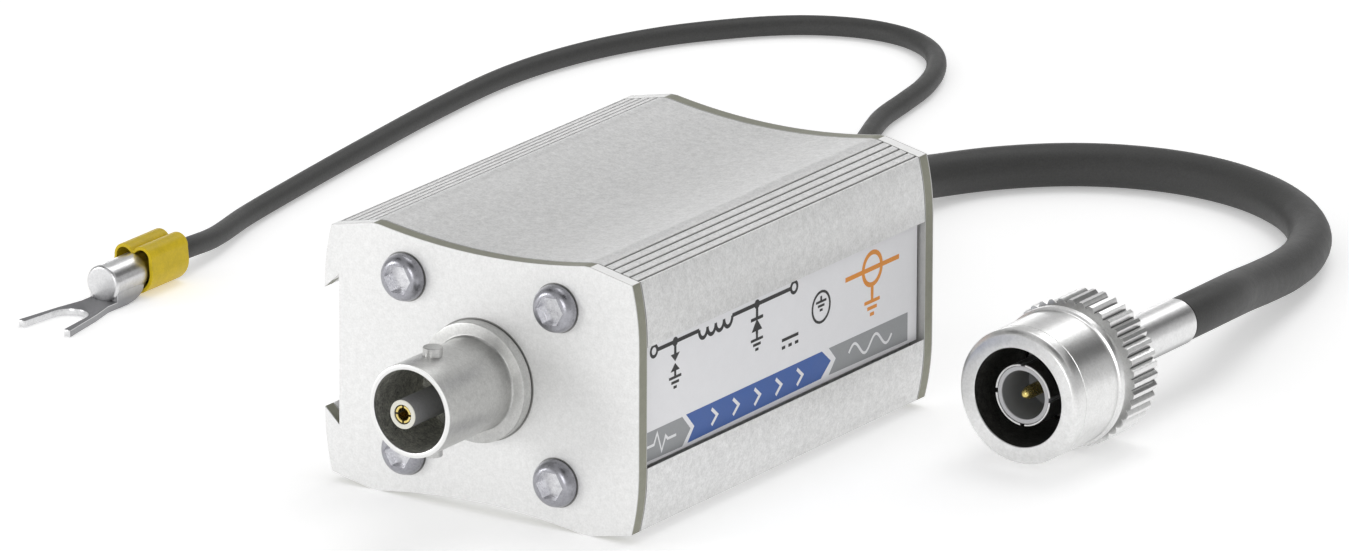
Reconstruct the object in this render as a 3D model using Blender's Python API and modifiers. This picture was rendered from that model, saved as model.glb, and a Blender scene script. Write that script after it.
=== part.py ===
"""Coax lightning arrestor with a bayonet jack, a flying coax plug lead and an earth lead with a fork terminal.

Units are metres. +Z is up, +Y runs from the jack to the cable end, +X is the side with the rating label.
The origin lies on the floor under the middle of the case with its jack and cable glands.
"""
import math

import bmesh
import bpy
from mathutils import Matrix, Vector

# Running and seating clearances
GAP = 0.0003
SEAT = 0.0001
THIN_GAP = 0.0002

# Case section: concave top and bottom between two ridges, grooved shoulders, bulged sides with dovetail slots
SIDE_X = 0.0190
SIDE_FLAT_Z = 0.0065
CORNER_X = 0.01816
CORNER_Z = 0.01301
RIDGE_X = 0.0128
RIDGE_Z = 0.01405
RIDGE_FLAT = 0.0008
CROWN_Z = 0.01298
GROOVE_COUNT = 5
GROOVE_WIDTH = 0.00042
GROOVE_DEPTH = 0.00032
SLOT_LIP_Z = 0.0063
SLOT_FLOOR_Z = 0.00795
SLOT_DEPTH = 0.00176
WALL = 0.0015
POCKET_WALL = 0.0017
CASE_LENGTH = 0.0540
PLATE = 0.0015

# Screws, their ports in the case and the holes in the end plates
SCREW_X = 0.0092
SCREW_Z = 0.00914
HEAD_R = 0.002575
HEAD_HEIGHT = 0.00145
HEAD_FLAT_R = 0.0015
SOCKET_FLATS = 0.0025
SOCKET_DEPTH = 0.0009
SHANK_R = 0.0014
SHANK_LENGTH = 0.0065
PORT_WALL = 0.0011
PORT_SLIT = 0.0008

# Bayonet jack
JACK_LENGTH = 0.0125
JACK_R = 0.00484
JACK_BORE_R = 0.00428
JACK_BORE_DEPTH = 0.0086
FLANGE_R = 0.00625
FLANGE = 0.00136
LUG_R = 0.0010
LUG_TIP_R = 0.0057
LUG_BEHIND_RIM = 0.0041
TAIL_R = 0.0046
LOCK_WASHER = 0.0006
LOCK_WASHER_R = 0.0062
NUT_FLATS = 0.0127
NUT = 0.0022
THREAD_PAST_NUT = 0.0007
JACK_INSULATOR_R = 0.0015
JACK_INSULATOR_NOSE = 0.0012
JACK_INSULATOR_BASE_R = 0.0024
JACK_INSULATOR_TAIL = 0.0012
JACK_CONTACT_R = 0.00092
JACK_CONTACT_BORE_R = 0.00066
JACK_CONTACT_SLOT = 0.00022
JACK_TAIL_R = 0.0006
JACK_TAIL = 0.0042

# Board and the parts that it carries
BOARD = 0.0016
BOARD_TO_LEAD = 0.0033
RIB = 0.0010
GAS_TUBE_R = 0.0029
GAS_TUBE_LENGTH = 0.0080
GAS_TUBE_CAP = 0.0011
COIL_R = 0.0021
COIL_LENGTH = 0.0070
COIL_LEAD_R = 0.00035
DIODE_LENGTH = 0.0043
DIODE_WIDTH = 0.0027
DIODE_HEIGHT = 0.0022

# Rating label in the slot on the +X side
LABEL = 0.0003
LABEL_HALF_HEIGHT = 0.0064
LABEL_END_GAP = 0.0012

# Cable glands in the rear plate
COAX_R = 0.00235
CORE_R = 0.00145
CORE_LENGTH = 0.0018
CONDUCTOR_R = 0.00045
CONDUCTOR_LENGTH = 0.0040
GLAND_HEAD = 0.0050
GLAND_HEAD_R = 0.0046
GLAND_MOUTH_R = 0.0037
GLAND_NECK_R = 0.0036
GLAND_FLANGE = 0.0010
EARTH_WIRE_R = 0.00112
EARTH_GLAND_Z = 0.0085
EARTH_GLAND_HEAD = 0.0022
EARTH_GLAND_HEAD_R = 0.0026
EARTH_GLAND_MOUTH_R = 0.0020
EARTH_GLAND_NECK_R = 0.0020
COAX_INSIDE = 0.0080

# Plug on the coax lead; lengths are measured back from its front face
PLUG_X = 0.03727
PLUG_FRONT_Y = 0.01881
RING_BORE_R = 0.0052
RING_R = 0.0071
RING_BEVEL = 0.0005
SEAM_AT = 0.0018
SEAM_DEPTH = 0.00015
BAND_AT = 0.0078
BAND_R = 0.0074
BAND = 0.0009
RELIEF_R = 0.0067
KNURL_AT = 0.0099
KNURL = 0.0048
KNURL_R = 0.00778
KNURL_DEPTH = 0.00045
KNURL_TEETH = 40
COLLAR = 0.0010
COLLAR_R = 0.0050
NUT_CAVITY_R = 0.0054
NUT_LIP = 0.0019
SHAFT_R = 0.0034
SLEEVE_AT = 0.00095
SLEEVE_R = 0.00327
SLEEVE_BORE_R = 0.00305
CUP_BORE_R = 0.00258
SLEEVE_SLOT = 0.0005
SLEEVE_SLOT_DEPTH = 0.0050
PLUG_INSULATOR_AT = 0.0062
PIN_R = 0.00068
PIN_TIP_AT = 0.0012
PIN_LENGTH = 0.0150
WAVE_SHEET = 0.00025
WAVE_COUNT = 3
THRUST_WASHER = 0.0005
NUT_TRAVEL = 0.0008
SNAP_RING = 0.0006
SNAP_RING_R = 0.0043
SNAP_GROOVE_R = 0.0030
SHAFT_PAST_RING = 0.0008
SPIGOT_R = 0.0016
SPIGOT_LENGTH = 0.0065
FERRULE_R = 0.00247
FERRULE_BORE_R = 0.0020
PLUG_LENGTH = 0.03056

# Fork terminal and its insulating sleeve on the earth lead
TERMINAL_X = -0.0709
BARREL_FRONT_Y = 0.01065
BARREL_FRONT_LENGTH = 0.0055
BARREL_R = 0.0020
BARREL_ROUND = 0.00035
CRIMP_R = 0.0016
CRIMP_LENGTH = 0.0038
TONGUE = 0.0008
TONGUE_BACK = 0.0026
NECK_HALF_WIDTH = 0.00175
FORK_LENGTH = 0.0102
FORK_HALF_WIDTH = 0.0034
FORK_SHOULDER = 0.0044
FORK_SHOULDER_HALF_WIDTH = 0.00245
SLOT_ROOT_R = 0.00205
SLOT_MOUTH_HALF_WIDTH = 0.0025
TERMINAL_SLEEVE_LENGTH = 0.0082
TERMINAL_SLEEVE_WALL = 0.00035
SLEEVE_END_WALL = 0.0015
LOBE_R = 0.0013
LOBE_X = 0.00112
LOBE_RISE = 0.0015
REST = 0.00005

# Derived places along the case, all measured along Y
BODY_LENGTH = CASE_LENGTH - 2 * PLATE - 2 * SEAT
FRONT_REACH = JACK_LENGTH + JACK_INSULATOR_NOSE
FRONT_Y = (FRONT_REACH - CASE_LENGTH - GLAND_HEAD) / 2
REAR_Y = FRONT_Y + CASE_LENGTH
AXIS_Z = RIDGE_Z
FLOOR_X = SIDE_X - SLOT_DEPTH
CAVITY_X = FLOOR_X - WALL
CAVITY_Z = CROWN_Z - WALL
POCKET_X = CORNER_X - POCKET_WALL
PORT_BORE_R = SHANK_R + GAP
PORT_R = PORT_BORE_R + PORT_WALL
BOARD_TOP_Z = AXIS_Z - JACK_TAIL_R - GAP
JACK_TAIL_ROOT_Y = FRONT_Y + PLATE + SEAT + LOCK_WASHER + NUT + THREAD_PAST_NUT
BOARD_FRONT_Y = JACK_TAIL_ROOT_Y + JACK_INSULATOR_TAIL + GAP
COAX_START_Y = REAR_Y - COAX_INSIDE
BOARD_REAR_Y = COAX_START_Y - GAP - CORE_LENGTH - BOARD_TO_LEAD
BOARD_LENGTH = BOARD_REAR_Y - BOARD_FRONT_Y
PLUG_Z = KNURL_R
NUT_LENGTH = KNURL_AT + KNURL
LIP_AT = NUT_LENGTH - NUT_LIP
WAVE_HEIGHT = NUT_TRAVEL + WAVE_SHEET + SEAT
COLLAR_AT = LIP_AT - THRUST_WASHER - WAVE_HEIGHT - COLLAR - 3 * SEAT
SNAP_AT = NUT_LENGTH + THIN_GAP
SHAFT_END = SNAP_AT + SNAP_RING + SHAFT_PAST_RING
FERRULE_AT = SHAFT_END + GAP
TERMINAL_SLEEVE_R = BARREL_R + THIN_GAP + TERMINAL_SLEEVE_WALL
TERMINAL_AXIS_Z = TERMINAL_SLEEVE_R + REST
BARREL_LENGTH = BARREL_FRONT_LENGTH + CRIMP_LENGTH
SLEEVE_FRONT_Y = BARREL_FRONT_Y + BARREL_FRONT_LENGTH + SEAT

# Route of the coax lead after its gland: down to the floor, round and back up into the plug
COAX_ROUTE = [
    (-0.0015, 0.0478, 0.0134),
    (-0.0052, 0.0566, 0.0118),
    (-0.0104, 0.0654, 0.0094),
    (-0.0156, 0.0742, 0.0066),
    (-0.0190, 0.0832, 0.0043),
    (-0.0192, 0.0910, 0.0029),
    (-0.0164, 0.0979, 0.00245),
    (-0.0120, 0.1028, 0.0024),
    (-0.0072, 0.1060, 0.0024),
    (-0.0019, 0.1079, 0.0024),
    (0.0037, 0.1085, 0.0024),
    (0.0093, 0.1077, 0.0024),
    (0.0150, 0.1054, 0.0024),
    (0.0203, 0.1016, 0.0024),
    (0.0250, 0.0960, 0.0025),
    (0.0284, 0.0890, 0.0029),
    (0.0306, 0.0819, 0.0036),
    (0.0323, 0.0744, 0.0046),
    (0.0342, 0.0670, 0.0059),
    (0.0363, 0.0602, 0.0072),
]

# Route of the earth lead after its gland: over the coax, down to the floor and round to the fork terminal
EARTH_ROUTE = [
    (-0.0014, 0.0405, 0.0218),
    (-0.0046, 0.0467, 0.0195),
    (-0.0089, 0.0535, 0.0158),
    (-0.0135, 0.0605, 0.0116),
    (-0.0180, 0.0677, 0.0077),
    (-0.0223, 0.0751, 0.0046),
    (-0.0263, 0.0826, 0.0025),
    (-0.0299, 0.0899, 0.0014),
    (-0.0330, 0.0970, 0.00118),
    (-0.0358, 0.1038, 0.00118),
    (-0.0383, 0.1105, 0.00118),
    (-0.0396, 0.1172, 0.00118),
    (-0.0409, 0.1232, 0.00118),
    (-0.0434, 0.1294, 0.00118),
    (-0.0471, 0.1345, 0.00118),
    (-0.0517, 0.1375, 0.00118),
    (-0.0566, 0.1383, 0.00118),
    (-0.0613, 0.1373, 0.00118),
    (-0.0658, 0.1348, 0.00118),
    (-0.0703, 0.1303, 0.00118),
    (-0.0755, 0.1226, 0.00118),
    (-0.0793, 0.1127, 0.00118),
    (-0.0810, 0.1012, 0.00118),
    (-0.0804, 0.0868, 0.00118),
    (-0.0784, 0.0684, 0.00118),
    (-0.0764, 0.0527, 0.00118),
    (-0.0747, 0.0421, 0.0013),
    (-0.0720, 0.0324, 0.0019),
]

COLOURS = {
    "aluminium": ((0.72, 0.72, 0.72), 0.45, 1.0),
    "plate": ((0.80, 0.80, 0.79), 0.45, 1.0),
    "screw": ((0.62, 0.63, 0.66), 0.30, 1.0),
    "nickel": ((0.78, 0.77, 0.74), 0.22, 1.0),
    "gold": ((0.90, 0.68, 0.32), 0.25, 1.0),
    "insulator": ((0.78, 0.78, 0.78), 0.45, 0.0),
    "board": ((0.05, 0.22, 0.12), 0.45, 0.0),
    "ceramic": ((0.82, 0.80, 0.76), 0.40, 0.0),
    "black": ((0.03, 0.03, 0.03), 0.50, 0.0),
    "copper": ((0.75, 0.36, 0.20), 0.35, 1.0),
    "label": ((0.85, 0.85, 0.86), 0.40, 0.0),
    "cable": ((0.06, 0.06, 0.06), 0.55, 0.0),
    "tin": ((0.70, 0.70, 0.72), 0.30, 1.0),
    "yellow": ((0.72, 0.62, 0.05), 0.45, 0.0),
    "core": ((0.85, 0.85, 0.82), 0.45, 0.0),
}

FORWARD = Matrix.Rotation(math.radians(90), 4, "X")
BACKWARD = Matrix.Rotation(math.radians(-90), 4, "X")
TURN_STEPS = 36


# Scene and collections
def clear_scene():
    """Remove every object of the scene that the file opened with."""
    for old in list(bpy.data.objects):
        bpy.data.objects.remove(old, do_unlink=True)


def collection(name):
    """A new collection in the scene."""
    made = bpy.data.collections.new(name)
    bpy.context.scene.collection.children.link(made)
    return made


clear_scene()
PARTS = collection("coax_lightning_arrestor")
CUTTERS = collection("cutters")


# Materials
def material(name, finish):
    """A Principled material for one part, from the finish table."""
    colour, roughness, metallic = COLOURS[finish]
    made = bpy.data.materials.new(name)
    made.use_nodes = True
    shader = made.node_tree.nodes["Principled BSDF"]
    shader.inputs["Base Color"].default_value = (*colour, 1.0)
    shader.inputs["Roughness"].default_value = roughness
    shader.inputs["Metallic"].default_value = metallic
    made.diffuse_color = (*colour, 1.0)
    return made


# Building tools
def add_object(name, data, finish=None, group=None):
    """Link an object; a part gets its own material and a cutter is hidden from renders."""
    made = bpy.data.objects.new(name, data)
    (group or PARTS).objects.link(made)
    if finish:
        data.materials.clear()
        data.materials.append(material(name, finish))
    else:
        made.hide_render = True
        made.display_type = "WIRE"
    return made


def evaluated_mesh(source, name):
    """The mesh of an object with its modifiers applied and its caps welded."""
    bpy.context.view_layer.update()
    graph = bpy.context.evaluated_depsgraph_get()
    mesh = bpy.data.meshes.new_from_object(source.evaluated_get(graph))
    mesh.name = name
    bm = bmesh.new()
    bm.from_mesh(mesh)
    bmesh.ops.remove_doubles(bm, verts=bm.verts, dist=0.000001)
    bm.to_mesh(mesh)
    bm.free()
    return mesh


def as_mesh(source, finish=None, group=None):
    """Replace a curve or a modified object by a plain mesh object in the same place."""
    name = source.name
    mesh = evaluated_mesh(source, name)
    place = source.matrix_world.copy()
    bpy.data.objects.remove(source, do_unlink=True)
    made = add_object(name, mesh, finish, group)
    made.matrix_world = place
    return made


def smooth(part, degrees=35):
    """Shade a round piece smooth and keep its real edges sharp."""
    part.data.shade_smooth()
    part.data.set_sharp_from_angle(angle=math.radians(degrees))
    return part


def boolean(part, other, operation, label):
    """Cut or join with a Boolean modifier that stays on the part."""
    step = part.modifiers.new(label, "BOOLEAN")
    step.operation = operation
    step.object = other
    step.solver = "EXACT"
    return part


def turned(name, profile, place, finish=None, steps=TURN_STEPS):
    """A profile of (radius, height) points turned about its own Z axis.

    The points run down the outer side from the top; a profile with a hole comes back up the bore and closes.
    """
    closed = profile[0][0] > 0 or profile[-1][0] > 0
    bm = bmesh.new()
    points = [bm.verts.new((radius, 0.0, height)) for radius, height in profile]
    for first, second in zip(points, points[1:]):
        bm.edges.new((first, second))
    if closed:
        bm.edges.new((points[-1], points[0]))
    mesh = bpy.data.meshes.new(name)
    bm.to_mesh(mesh)
    bm.free()
    made = add_object(name, mesh, finish, PARTS if finish else CUTTERS)
    turn = made.modifiers.new("turn", "SCREW")
    turn.steps = steps
    turn.render_steps = steps
    turn.use_merge_vertices = True
    turn.merge_threshold = 0.00001
    made.matrix_world = place
    return as_mesh(made, finish, PARTS if finish else CUTTERS)


def flat(name, outlines, thickness, place, finish=None):
    """Outlines in the XZ plane, the first one outside and the rest holes, extruded along Y from `place`."""
    curve = bpy.data.curves.new(name, "CURVE")
    curve.dimensions = "2D"
    curve.fill_mode = "BOTH"
    curve.extrude = thickness / 2
    for outline in outlines:
        spline = curve.splines.new("POLY")
        spline.points.add(len(outline) - 1)
        for point, (x, z) in zip(spline.points, outline):
            point.co = (x, z, 0.0, 1.0)
        spline.use_cyclic_u = True
    made = add_object(name, curve, finish, PARTS if finish else CUTTERS)
    made.matrix_world = Matrix.Translation(place + Vector((0, thickness / 2, 0))) @ FORWARD
    return as_mesh(made, finish, PARTS if finish else CUTTERS)


def box(name, low, high, finish=None):
    """A box between two corners."""
    bm = bmesh.new()
    bmesh.ops.create_cube(bm, size=1.0)
    size = [b - a for a, b in zip(low, high)]
    middle = [(a + b) / 2 for a, b in zip(low, high)]
    bmesh.ops.scale(bm, vec=size, verts=bm.verts)
    bmesh.ops.translate(bm, vec=middle, verts=bm.verts)
    mesh = bpy.data.meshes.new(name)
    bm.to_mesh(mesh)
    bm.free()
    return add_object(name, mesh, finish, PARTS if finish else CUTTERS)


def rod(name, radius, length, place, sides=24, finish=None):
    """A cylinder that starts at `place` and runs along its local Z."""
    bm = bmesh.new()
    bmesh.ops.create_cone(
        bm, cap_ends=True, segments=sides, radius1=radius, radius2=radius, depth=length,
        matrix=Matrix.Translation((0, 0, length / 2)),
    )
    mesh = bpy.data.meshes.new(name)
    bm.to_mesh(mesh)
    bm.free()
    made = add_object(name, mesh, finish, PARTS if finish else CUTTERS)
    made.matrix_world = place
    return made


def at(x, y, z, turn=FORWARD):
    """A place with its local Z turned to -Y, or as `turn` says."""
    return Matrix.Translation((x, y, z)) @ turn


# Case section
def arc_points(start, end, bulge, count):
    """Points on a circle arc from start to end; bulge is the height of its middle over the chord, to the left."""
    start, end = Vector(start), Vector(end)
    chord = end - start
    half = chord.length / 2
    radius = (half * half + bulge * bulge) / (2 * abs(bulge))
    left = Vector((-chord.y, chord.x)).normalized() * math.copysign(1, bulge)
    centre = (start + end) / 2 + left * (abs(bulge) - radius)
    spread = math.asin(min(1.0, half / radius))
    along = chord.normalized()
    points = []
    for step in range(count + 1):
        angle = spread * (2 * step / count - 1)
        point = centre + along * (radius * math.sin(angle)) + left * (radius * math.cos(angle))
        points.append((point.x, point.y))
    return points


def side_arc():
    """The side from the end of its flat middle up to the corner, tangent to the flat."""
    drop = SIDE_X - CORNER_X
    rise = CORNER_Z - SIDE_FLAT_Z
    radius = (drop * drop + rise * rise) / (2 * drop)
    sweep = math.asin(rise / radius)
    steps = 5
    points = []
    for step in range(steps + 1):
        angle = sweep * step / steps
        points.append((SIDE_X - radius + radius * math.cos(angle), SIDE_FLAT_Z + radius * math.sin(angle)))
    return points


def shoulder(grooved):
    """The slope from the corner up to the ridge, with V grooves along the case body."""
    start = Vector((CORNER_X, CORNER_Z))
    end = Vector((RIDGE_X + RIDGE_FLAT / 2, RIDGE_Z))
    if not grooved:
        return [tuple(end)]
    along = (end - start).normalized()
    inward = Vector((-along.y, along.x))
    pitch = (end - start).length / GROOVE_COUNT
    points = []
    for groove in range(GROOVE_COUNT):
        middle = start + along * pitch * (groove + 0.35)
        points.append(tuple(middle - along * GROOVE_WIDTH / 2))
        points.append(tuple(middle + inward * GROOVE_DEPTH))
        points.append(tuple(middle + along * GROOVE_WIDTH / 2))
    points.append(tuple(end))
    return points


def quarter(grooved, slotted):
    """The upper right quarter of the section, from the middle of the side to the middle of the top."""
    if slotted:
        side = [(FLOOR_X, SLOT_FLOOR_Z), (SIDE_X, SLOT_LIP_Z)]
    else:
        side = []
    inner_ridge = (RIDGE_X - RIDGE_FLAT / 2, RIDGE_Z)
    far_ridge = (-inner_ridge[0], RIDGE_Z)
    crown = arc_points(inner_ridge, far_ridge, RIDGE_Z - CROWN_Z, 20)[:11]
    return side + side_arc() + shoulder(grooved) + crown


def section(grooved, left_slot, right_slot):
    """The whole outline, anticlockwise, centred on the case axis."""
    right = quarter(grooved, right_slot)
    left = quarter(grooved, left_slot)
    upper_right = right
    upper_left = [(-x, z) for x, z in reversed(left[:-1])]
    lower_left = [(-x, -z) for x, z in left]
    lower_right = [(x, -z) for x, z in reversed(right[:-1])]
    return upper_right + upper_left + lower_left + lower_right


def cavity_outline():
    """The hollow of the case: side walls behind the slots, corner pockets and ribs that carry the board."""
    pocket_z = SLOT_FLOOR_Z + WALL
    board_low = BOARD_TOP_Z - BOARD - AXIS_Z
    board_high = BOARD_TOP_Z - AXIS_Z
    rib_x = CAVITY_X - RIB
    right = [
        (POCKET_X, -CAVITY_Z),
        (POCKET_X, -pocket_z),
        (CAVITY_X, -pocket_z),
        (CAVITY_X, board_low - GAP - RIB),
        (rib_x, board_low - GAP - RIB),
        (rib_x, board_low - GAP),
        (CAVITY_X, board_low - GAP),
        (CAVITY_X, board_high + GAP),
        (rib_x, board_high + GAP),
        (rib_x, board_high + GAP + RIB),
        (CAVITY_X, board_high + GAP + RIB),
        (CAVITY_X, pocket_z),
        (POCKET_X, pocket_z),
        (POCKET_X, CAVITY_Z),
    ]
    return right + [(-x, z) for x, z in reversed(right)]


def screw_places():
    """The four screw positions as (name, x, z)."""
    return [
        ("upper_left", -SCREW_X, AXIS_Z + SCREW_Z),
        ("upper_right", SCREW_X, AXIS_Z + SCREW_Z),
        ("lower_left", -SCREW_X, AXIS_Z - SCREW_Z),
        ("lower_right", SCREW_X, AXIS_Z - SCREW_Z),
    ]


def housing():
    """Extruded case body: outer section, hollow, four screw ports open by a slit, ribs for the board."""
    start_y = FRONT_Y + PLATE + SEAT
    centre = Vector((0, start_y, AXIS_Z))
    past = 0.002
    body = flat("housing", [section(True, True, True)], BODY_LENGTH, centre, "aluminium")
    hollow_place = centre - Vector((0, past, 0))
    hollow = flat("housing_hollow", [cavity_outline()], BODY_LENGTH + 2 * past, hollow_place)
    boolean(body, hollow, "DIFFERENCE", "hollow")
    for name, x, z in screw_places():
        inward = -1 if z > AXIS_Z else 1
        port = rod("port_" + name, PORT_R, BODY_LENGTH, at(x, start_y, z, BACKWARD))
        bore = rod(
            "port_bore_" + name, PORT_BORE_R, BODY_LENGTH + 2 * past, at(x, start_y - past, z, BACKWARD)
        )
        slit_end = z + inward * (PORT_R + past)
        slit = box(
            "port_slit_" + name,
            (x - PORT_SLIT / 2, start_y - past, min(z, slit_end)),
            (x + PORT_SLIT / 2, start_y + BODY_LENGTH + past, max(z, slit_end)),
        )
        boolean(body, port, "UNION", "port " + name)
        boolean(body, bore, "DIFFERENCE", "port bore " + name)
        boolean(body, slit, "DIFFERENCE", "port slit " + name)
    return body


def end_plate(name, front_y, holes):
    """An end plate with the section's outline, a notch at the open slot, and (x, z, radius) holes."""
    plate = flat(name, [section(False, True, False)], PLATE, Vector((0, front_y, AXIS_Z)), "plate")
    past = 0.001
    for number, (x, z, radius) in enumerate(holes):
        hole = rod(f"{name}_hole_{number}", radius, PLATE + 2 * past, at(x, front_y - past, z, BACKWARD))
        boolean(plate, hole, "DIFFERENCE", f"hole {number}")
    return plate


def screw(name, x, face_y, z, turn):
    """A button-head screw with a hexagon socket; the head's seat lies on the plate and the shank runs inward."""
    steps = 3
    rise = HEAD_HEIGHT - SEAT
    half = HEAD_R - HEAD_FLAT_R
    dome = []
    for step in range(steps + 1):
        angle = math.radians(90 * step / steps)
        dome.append((HEAD_FLAT_R + half * math.sin(angle), SEAT + rise * (0.12 + 0.88 * math.cos(angle))))
    profile = [(0.0, SEAT + rise)] + dome + [
        (HEAD_R, SEAT),
        (SHANK_R, SEAT),
        (SHANK_R, -SHANK_LENGTH),
        (SHANK_R * 0.6, -SHANK_LENGTH - 0.0005),
        (0.0, -SHANK_LENGTH - 0.0005),
    ]
    made = turned(name, profile, at(x, face_y, z, turn), "screw", 18)
    socket_turn = Matrix.Rotation(math.radians(30), 4, "Z")
    socket_place = at(x, face_y, z, turn) @ Matrix.Translation((0, 0, HEAD_HEIGHT - SOCKET_DEPTH)) @ socket_turn
    corner_r = SOCKET_FLATS / math.sqrt(3)
    socket = rod(name + "_socket", corner_r, SOCKET_DEPTH + 0.001, socket_place, 6)
    boolean(made, socket, "DIFFERENCE", "hexagon socket")
    return smooth(made)


def screws():
    """Four screws in each end plate."""
    for name, x, z in screw_places():
        screw("front_screw_" + name, x, FRONT_Y, z, FORWARD)
        screw("rear_screw_" + name, x, REAR_Y, z, BACKWARD)


# Jack
def jack():
    """Bayonet jack: shell with two lugs, insulator, spring contact, lock washer and nut."""
    place = at(0, FRONT_Y - SEAT, AXIS_Z)
    bore_floor = JACK_LENGTH - SEAT - JACK_BORE_DEPTH
    tip = JACK_LENGTH - SEAT
    tail_end = -(PLATE + LOCK_WASHER + NUT + THREAD_PAST_NUT + 2 * SEAT)
    through_r = JACK_INSULATOR_BASE_R + THIN_GAP
    rim = 0.00012
    shell = turned(
        "jack_shell",
        [
            (JACK_R - rim, tip),
            (JACK_R, tip - rim),
            (JACK_R, FLANGE + 0.0003),
            (JACK_R + 0.0003, FLANGE),
            (FLANGE_R - 0.0003, FLANGE),
            (FLANGE_R, FLANGE - 0.0003),
            (FLANGE_R, 0.0),
            (TAIL_R, 0.0),
            (TAIL_R, tail_end + 0.0003),
            (TAIL_R - 0.0003, tail_end),
            (through_r, tail_end),
            (through_r, bore_floor),
            (JACK_BORE_R, bore_floor),
            (JACK_BORE_R, tip - rim),
            (JACK_BORE_R + rim, tip),
        ],
        place,
        "nickel",
    )
    lug_y = FRONT_Y - JACK_LENGTH + LUG_BEHIND_RIM
    lug_root = (JACK_R + JACK_BORE_R) / 2
    for side, turn in (("top", Matrix.Identity(4)), ("bottom", Matrix.Rotation(math.pi, 4, "X"))):
        lug_place = at(0, lug_y, AXIS_Z, turn) @ Matrix.Translation((0, 0, lug_root))
        lug = rod("jack_lug_" + side, LUG_R, LUG_TIP_R - lug_root, lug_place, 20)
        boolean(shell, lug, "UNION", "lug " + side)
    smooth(shell)
    nose = tip + JACK_INSULATOR_NOSE
    contact_clear_r = JACK_CONTACT_R + 0.0001
    smooth(turned(
        "jack_insulator",
        [
            (JACK_INSULATOR_R, nose),
            (JACK_INSULATOR_R, bore_floor + 0.0010),
            (JACK_INSULATOR_BASE_R, bore_floor + 0.0010),
            (JACK_INSULATOR_BASE_R, tail_end - JACK_INSULATOR_TAIL),
            (contact_clear_r, tail_end - JACK_INSULATOR_TAIL),
            (contact_clear_r, nose),
        ],
        place,
        "insulator",
        32,
    ))
    contact_tip = nose - 0.0001
    contact_floor = tip - 0.0040
    tail_root = tail_end - JACK_INSULATOR_TAIL
    contact = turned(
        "jack_contact",
        [
            (JACK_CONTACT_R, contact_tip),
            (JACK_CONTACT_R, tail_root),
            (JACK_TAIL_R, tail_root),
            (JACK_TAIL_R, tail_root - JACK_TAIL + 0.0002),
            (JACK_TAIL_R - 0.0002, tail_root - JACK_TAIL),
            (0.0, tail_root - JACK_TAIL),
            (0.0, contact_floor),
            (JACK_CONTACT_BORE_R, contact_floor),
            (JACK_CONTACT_BORE_R, contact_tip),
        ],
        place,
        "gold",
        12,
    )
    slot_back_y = FRONT_Y - SEAT - contact_floor - 0.0004
    slot_front_y = FRONT_Y - SEAT - contact_tip - 0.0005
    half = JACK_CONTACT_SLOT / 2
    reach = JACK_CONTACT_R + 0.0005
    upright = box(
        "jack_contact_slot_upright", (-half, slot_front_y, AXIS_Z - reach), (half, slot_back_y, AXIS_Z + reach)
    )
    level = box(
        "jack_contact_slot_level", (-reach, slot_front_y, AXIS_Z - half), (reach, slot_back_y, AXIS_Z + half)
    )
    boolean(contact, upright, "DIFFERENCE", "upright slot")
    boolean(contact, level, "DIFFERENCE", "level slot")
    washer_front = -(PLATE + 2 * SEAT)
    thread_clear_r = TAIL_R + THIN_GAP
    smooth(turned(
        "jack_lock_washer",
        [
            (LOCK_WASHER_R, washer_front),
            (LOCK_WASHER_R, washer_front - LOCK_WASHER + SEAT),
            (thread_clear_r, washer_front - LOCK_WASHER + SEAT),
            (thread_clear_r, washer_front),
        ],
        place,
        "nickel",
        32,
    ))
    nut_front_y = FRONT_Y + PLATE + SEAT + LOCK_WASHER
    nut = rod("jack_nut", NUT_FLATS / math.sqrt(3), NUT, at(0, nut_front_y, AXIS_Z, BACKWARD), 6, "nickel")
    hole_place = at(0, nut_front_y - 0.001, AXIS_Z, BACKWARD)
    boolean(nut, rod("jack_nut_hole", thread_clear_r, NUT + 0.002, hole_place), "DIFFERENCE", "thread hole")


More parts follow.
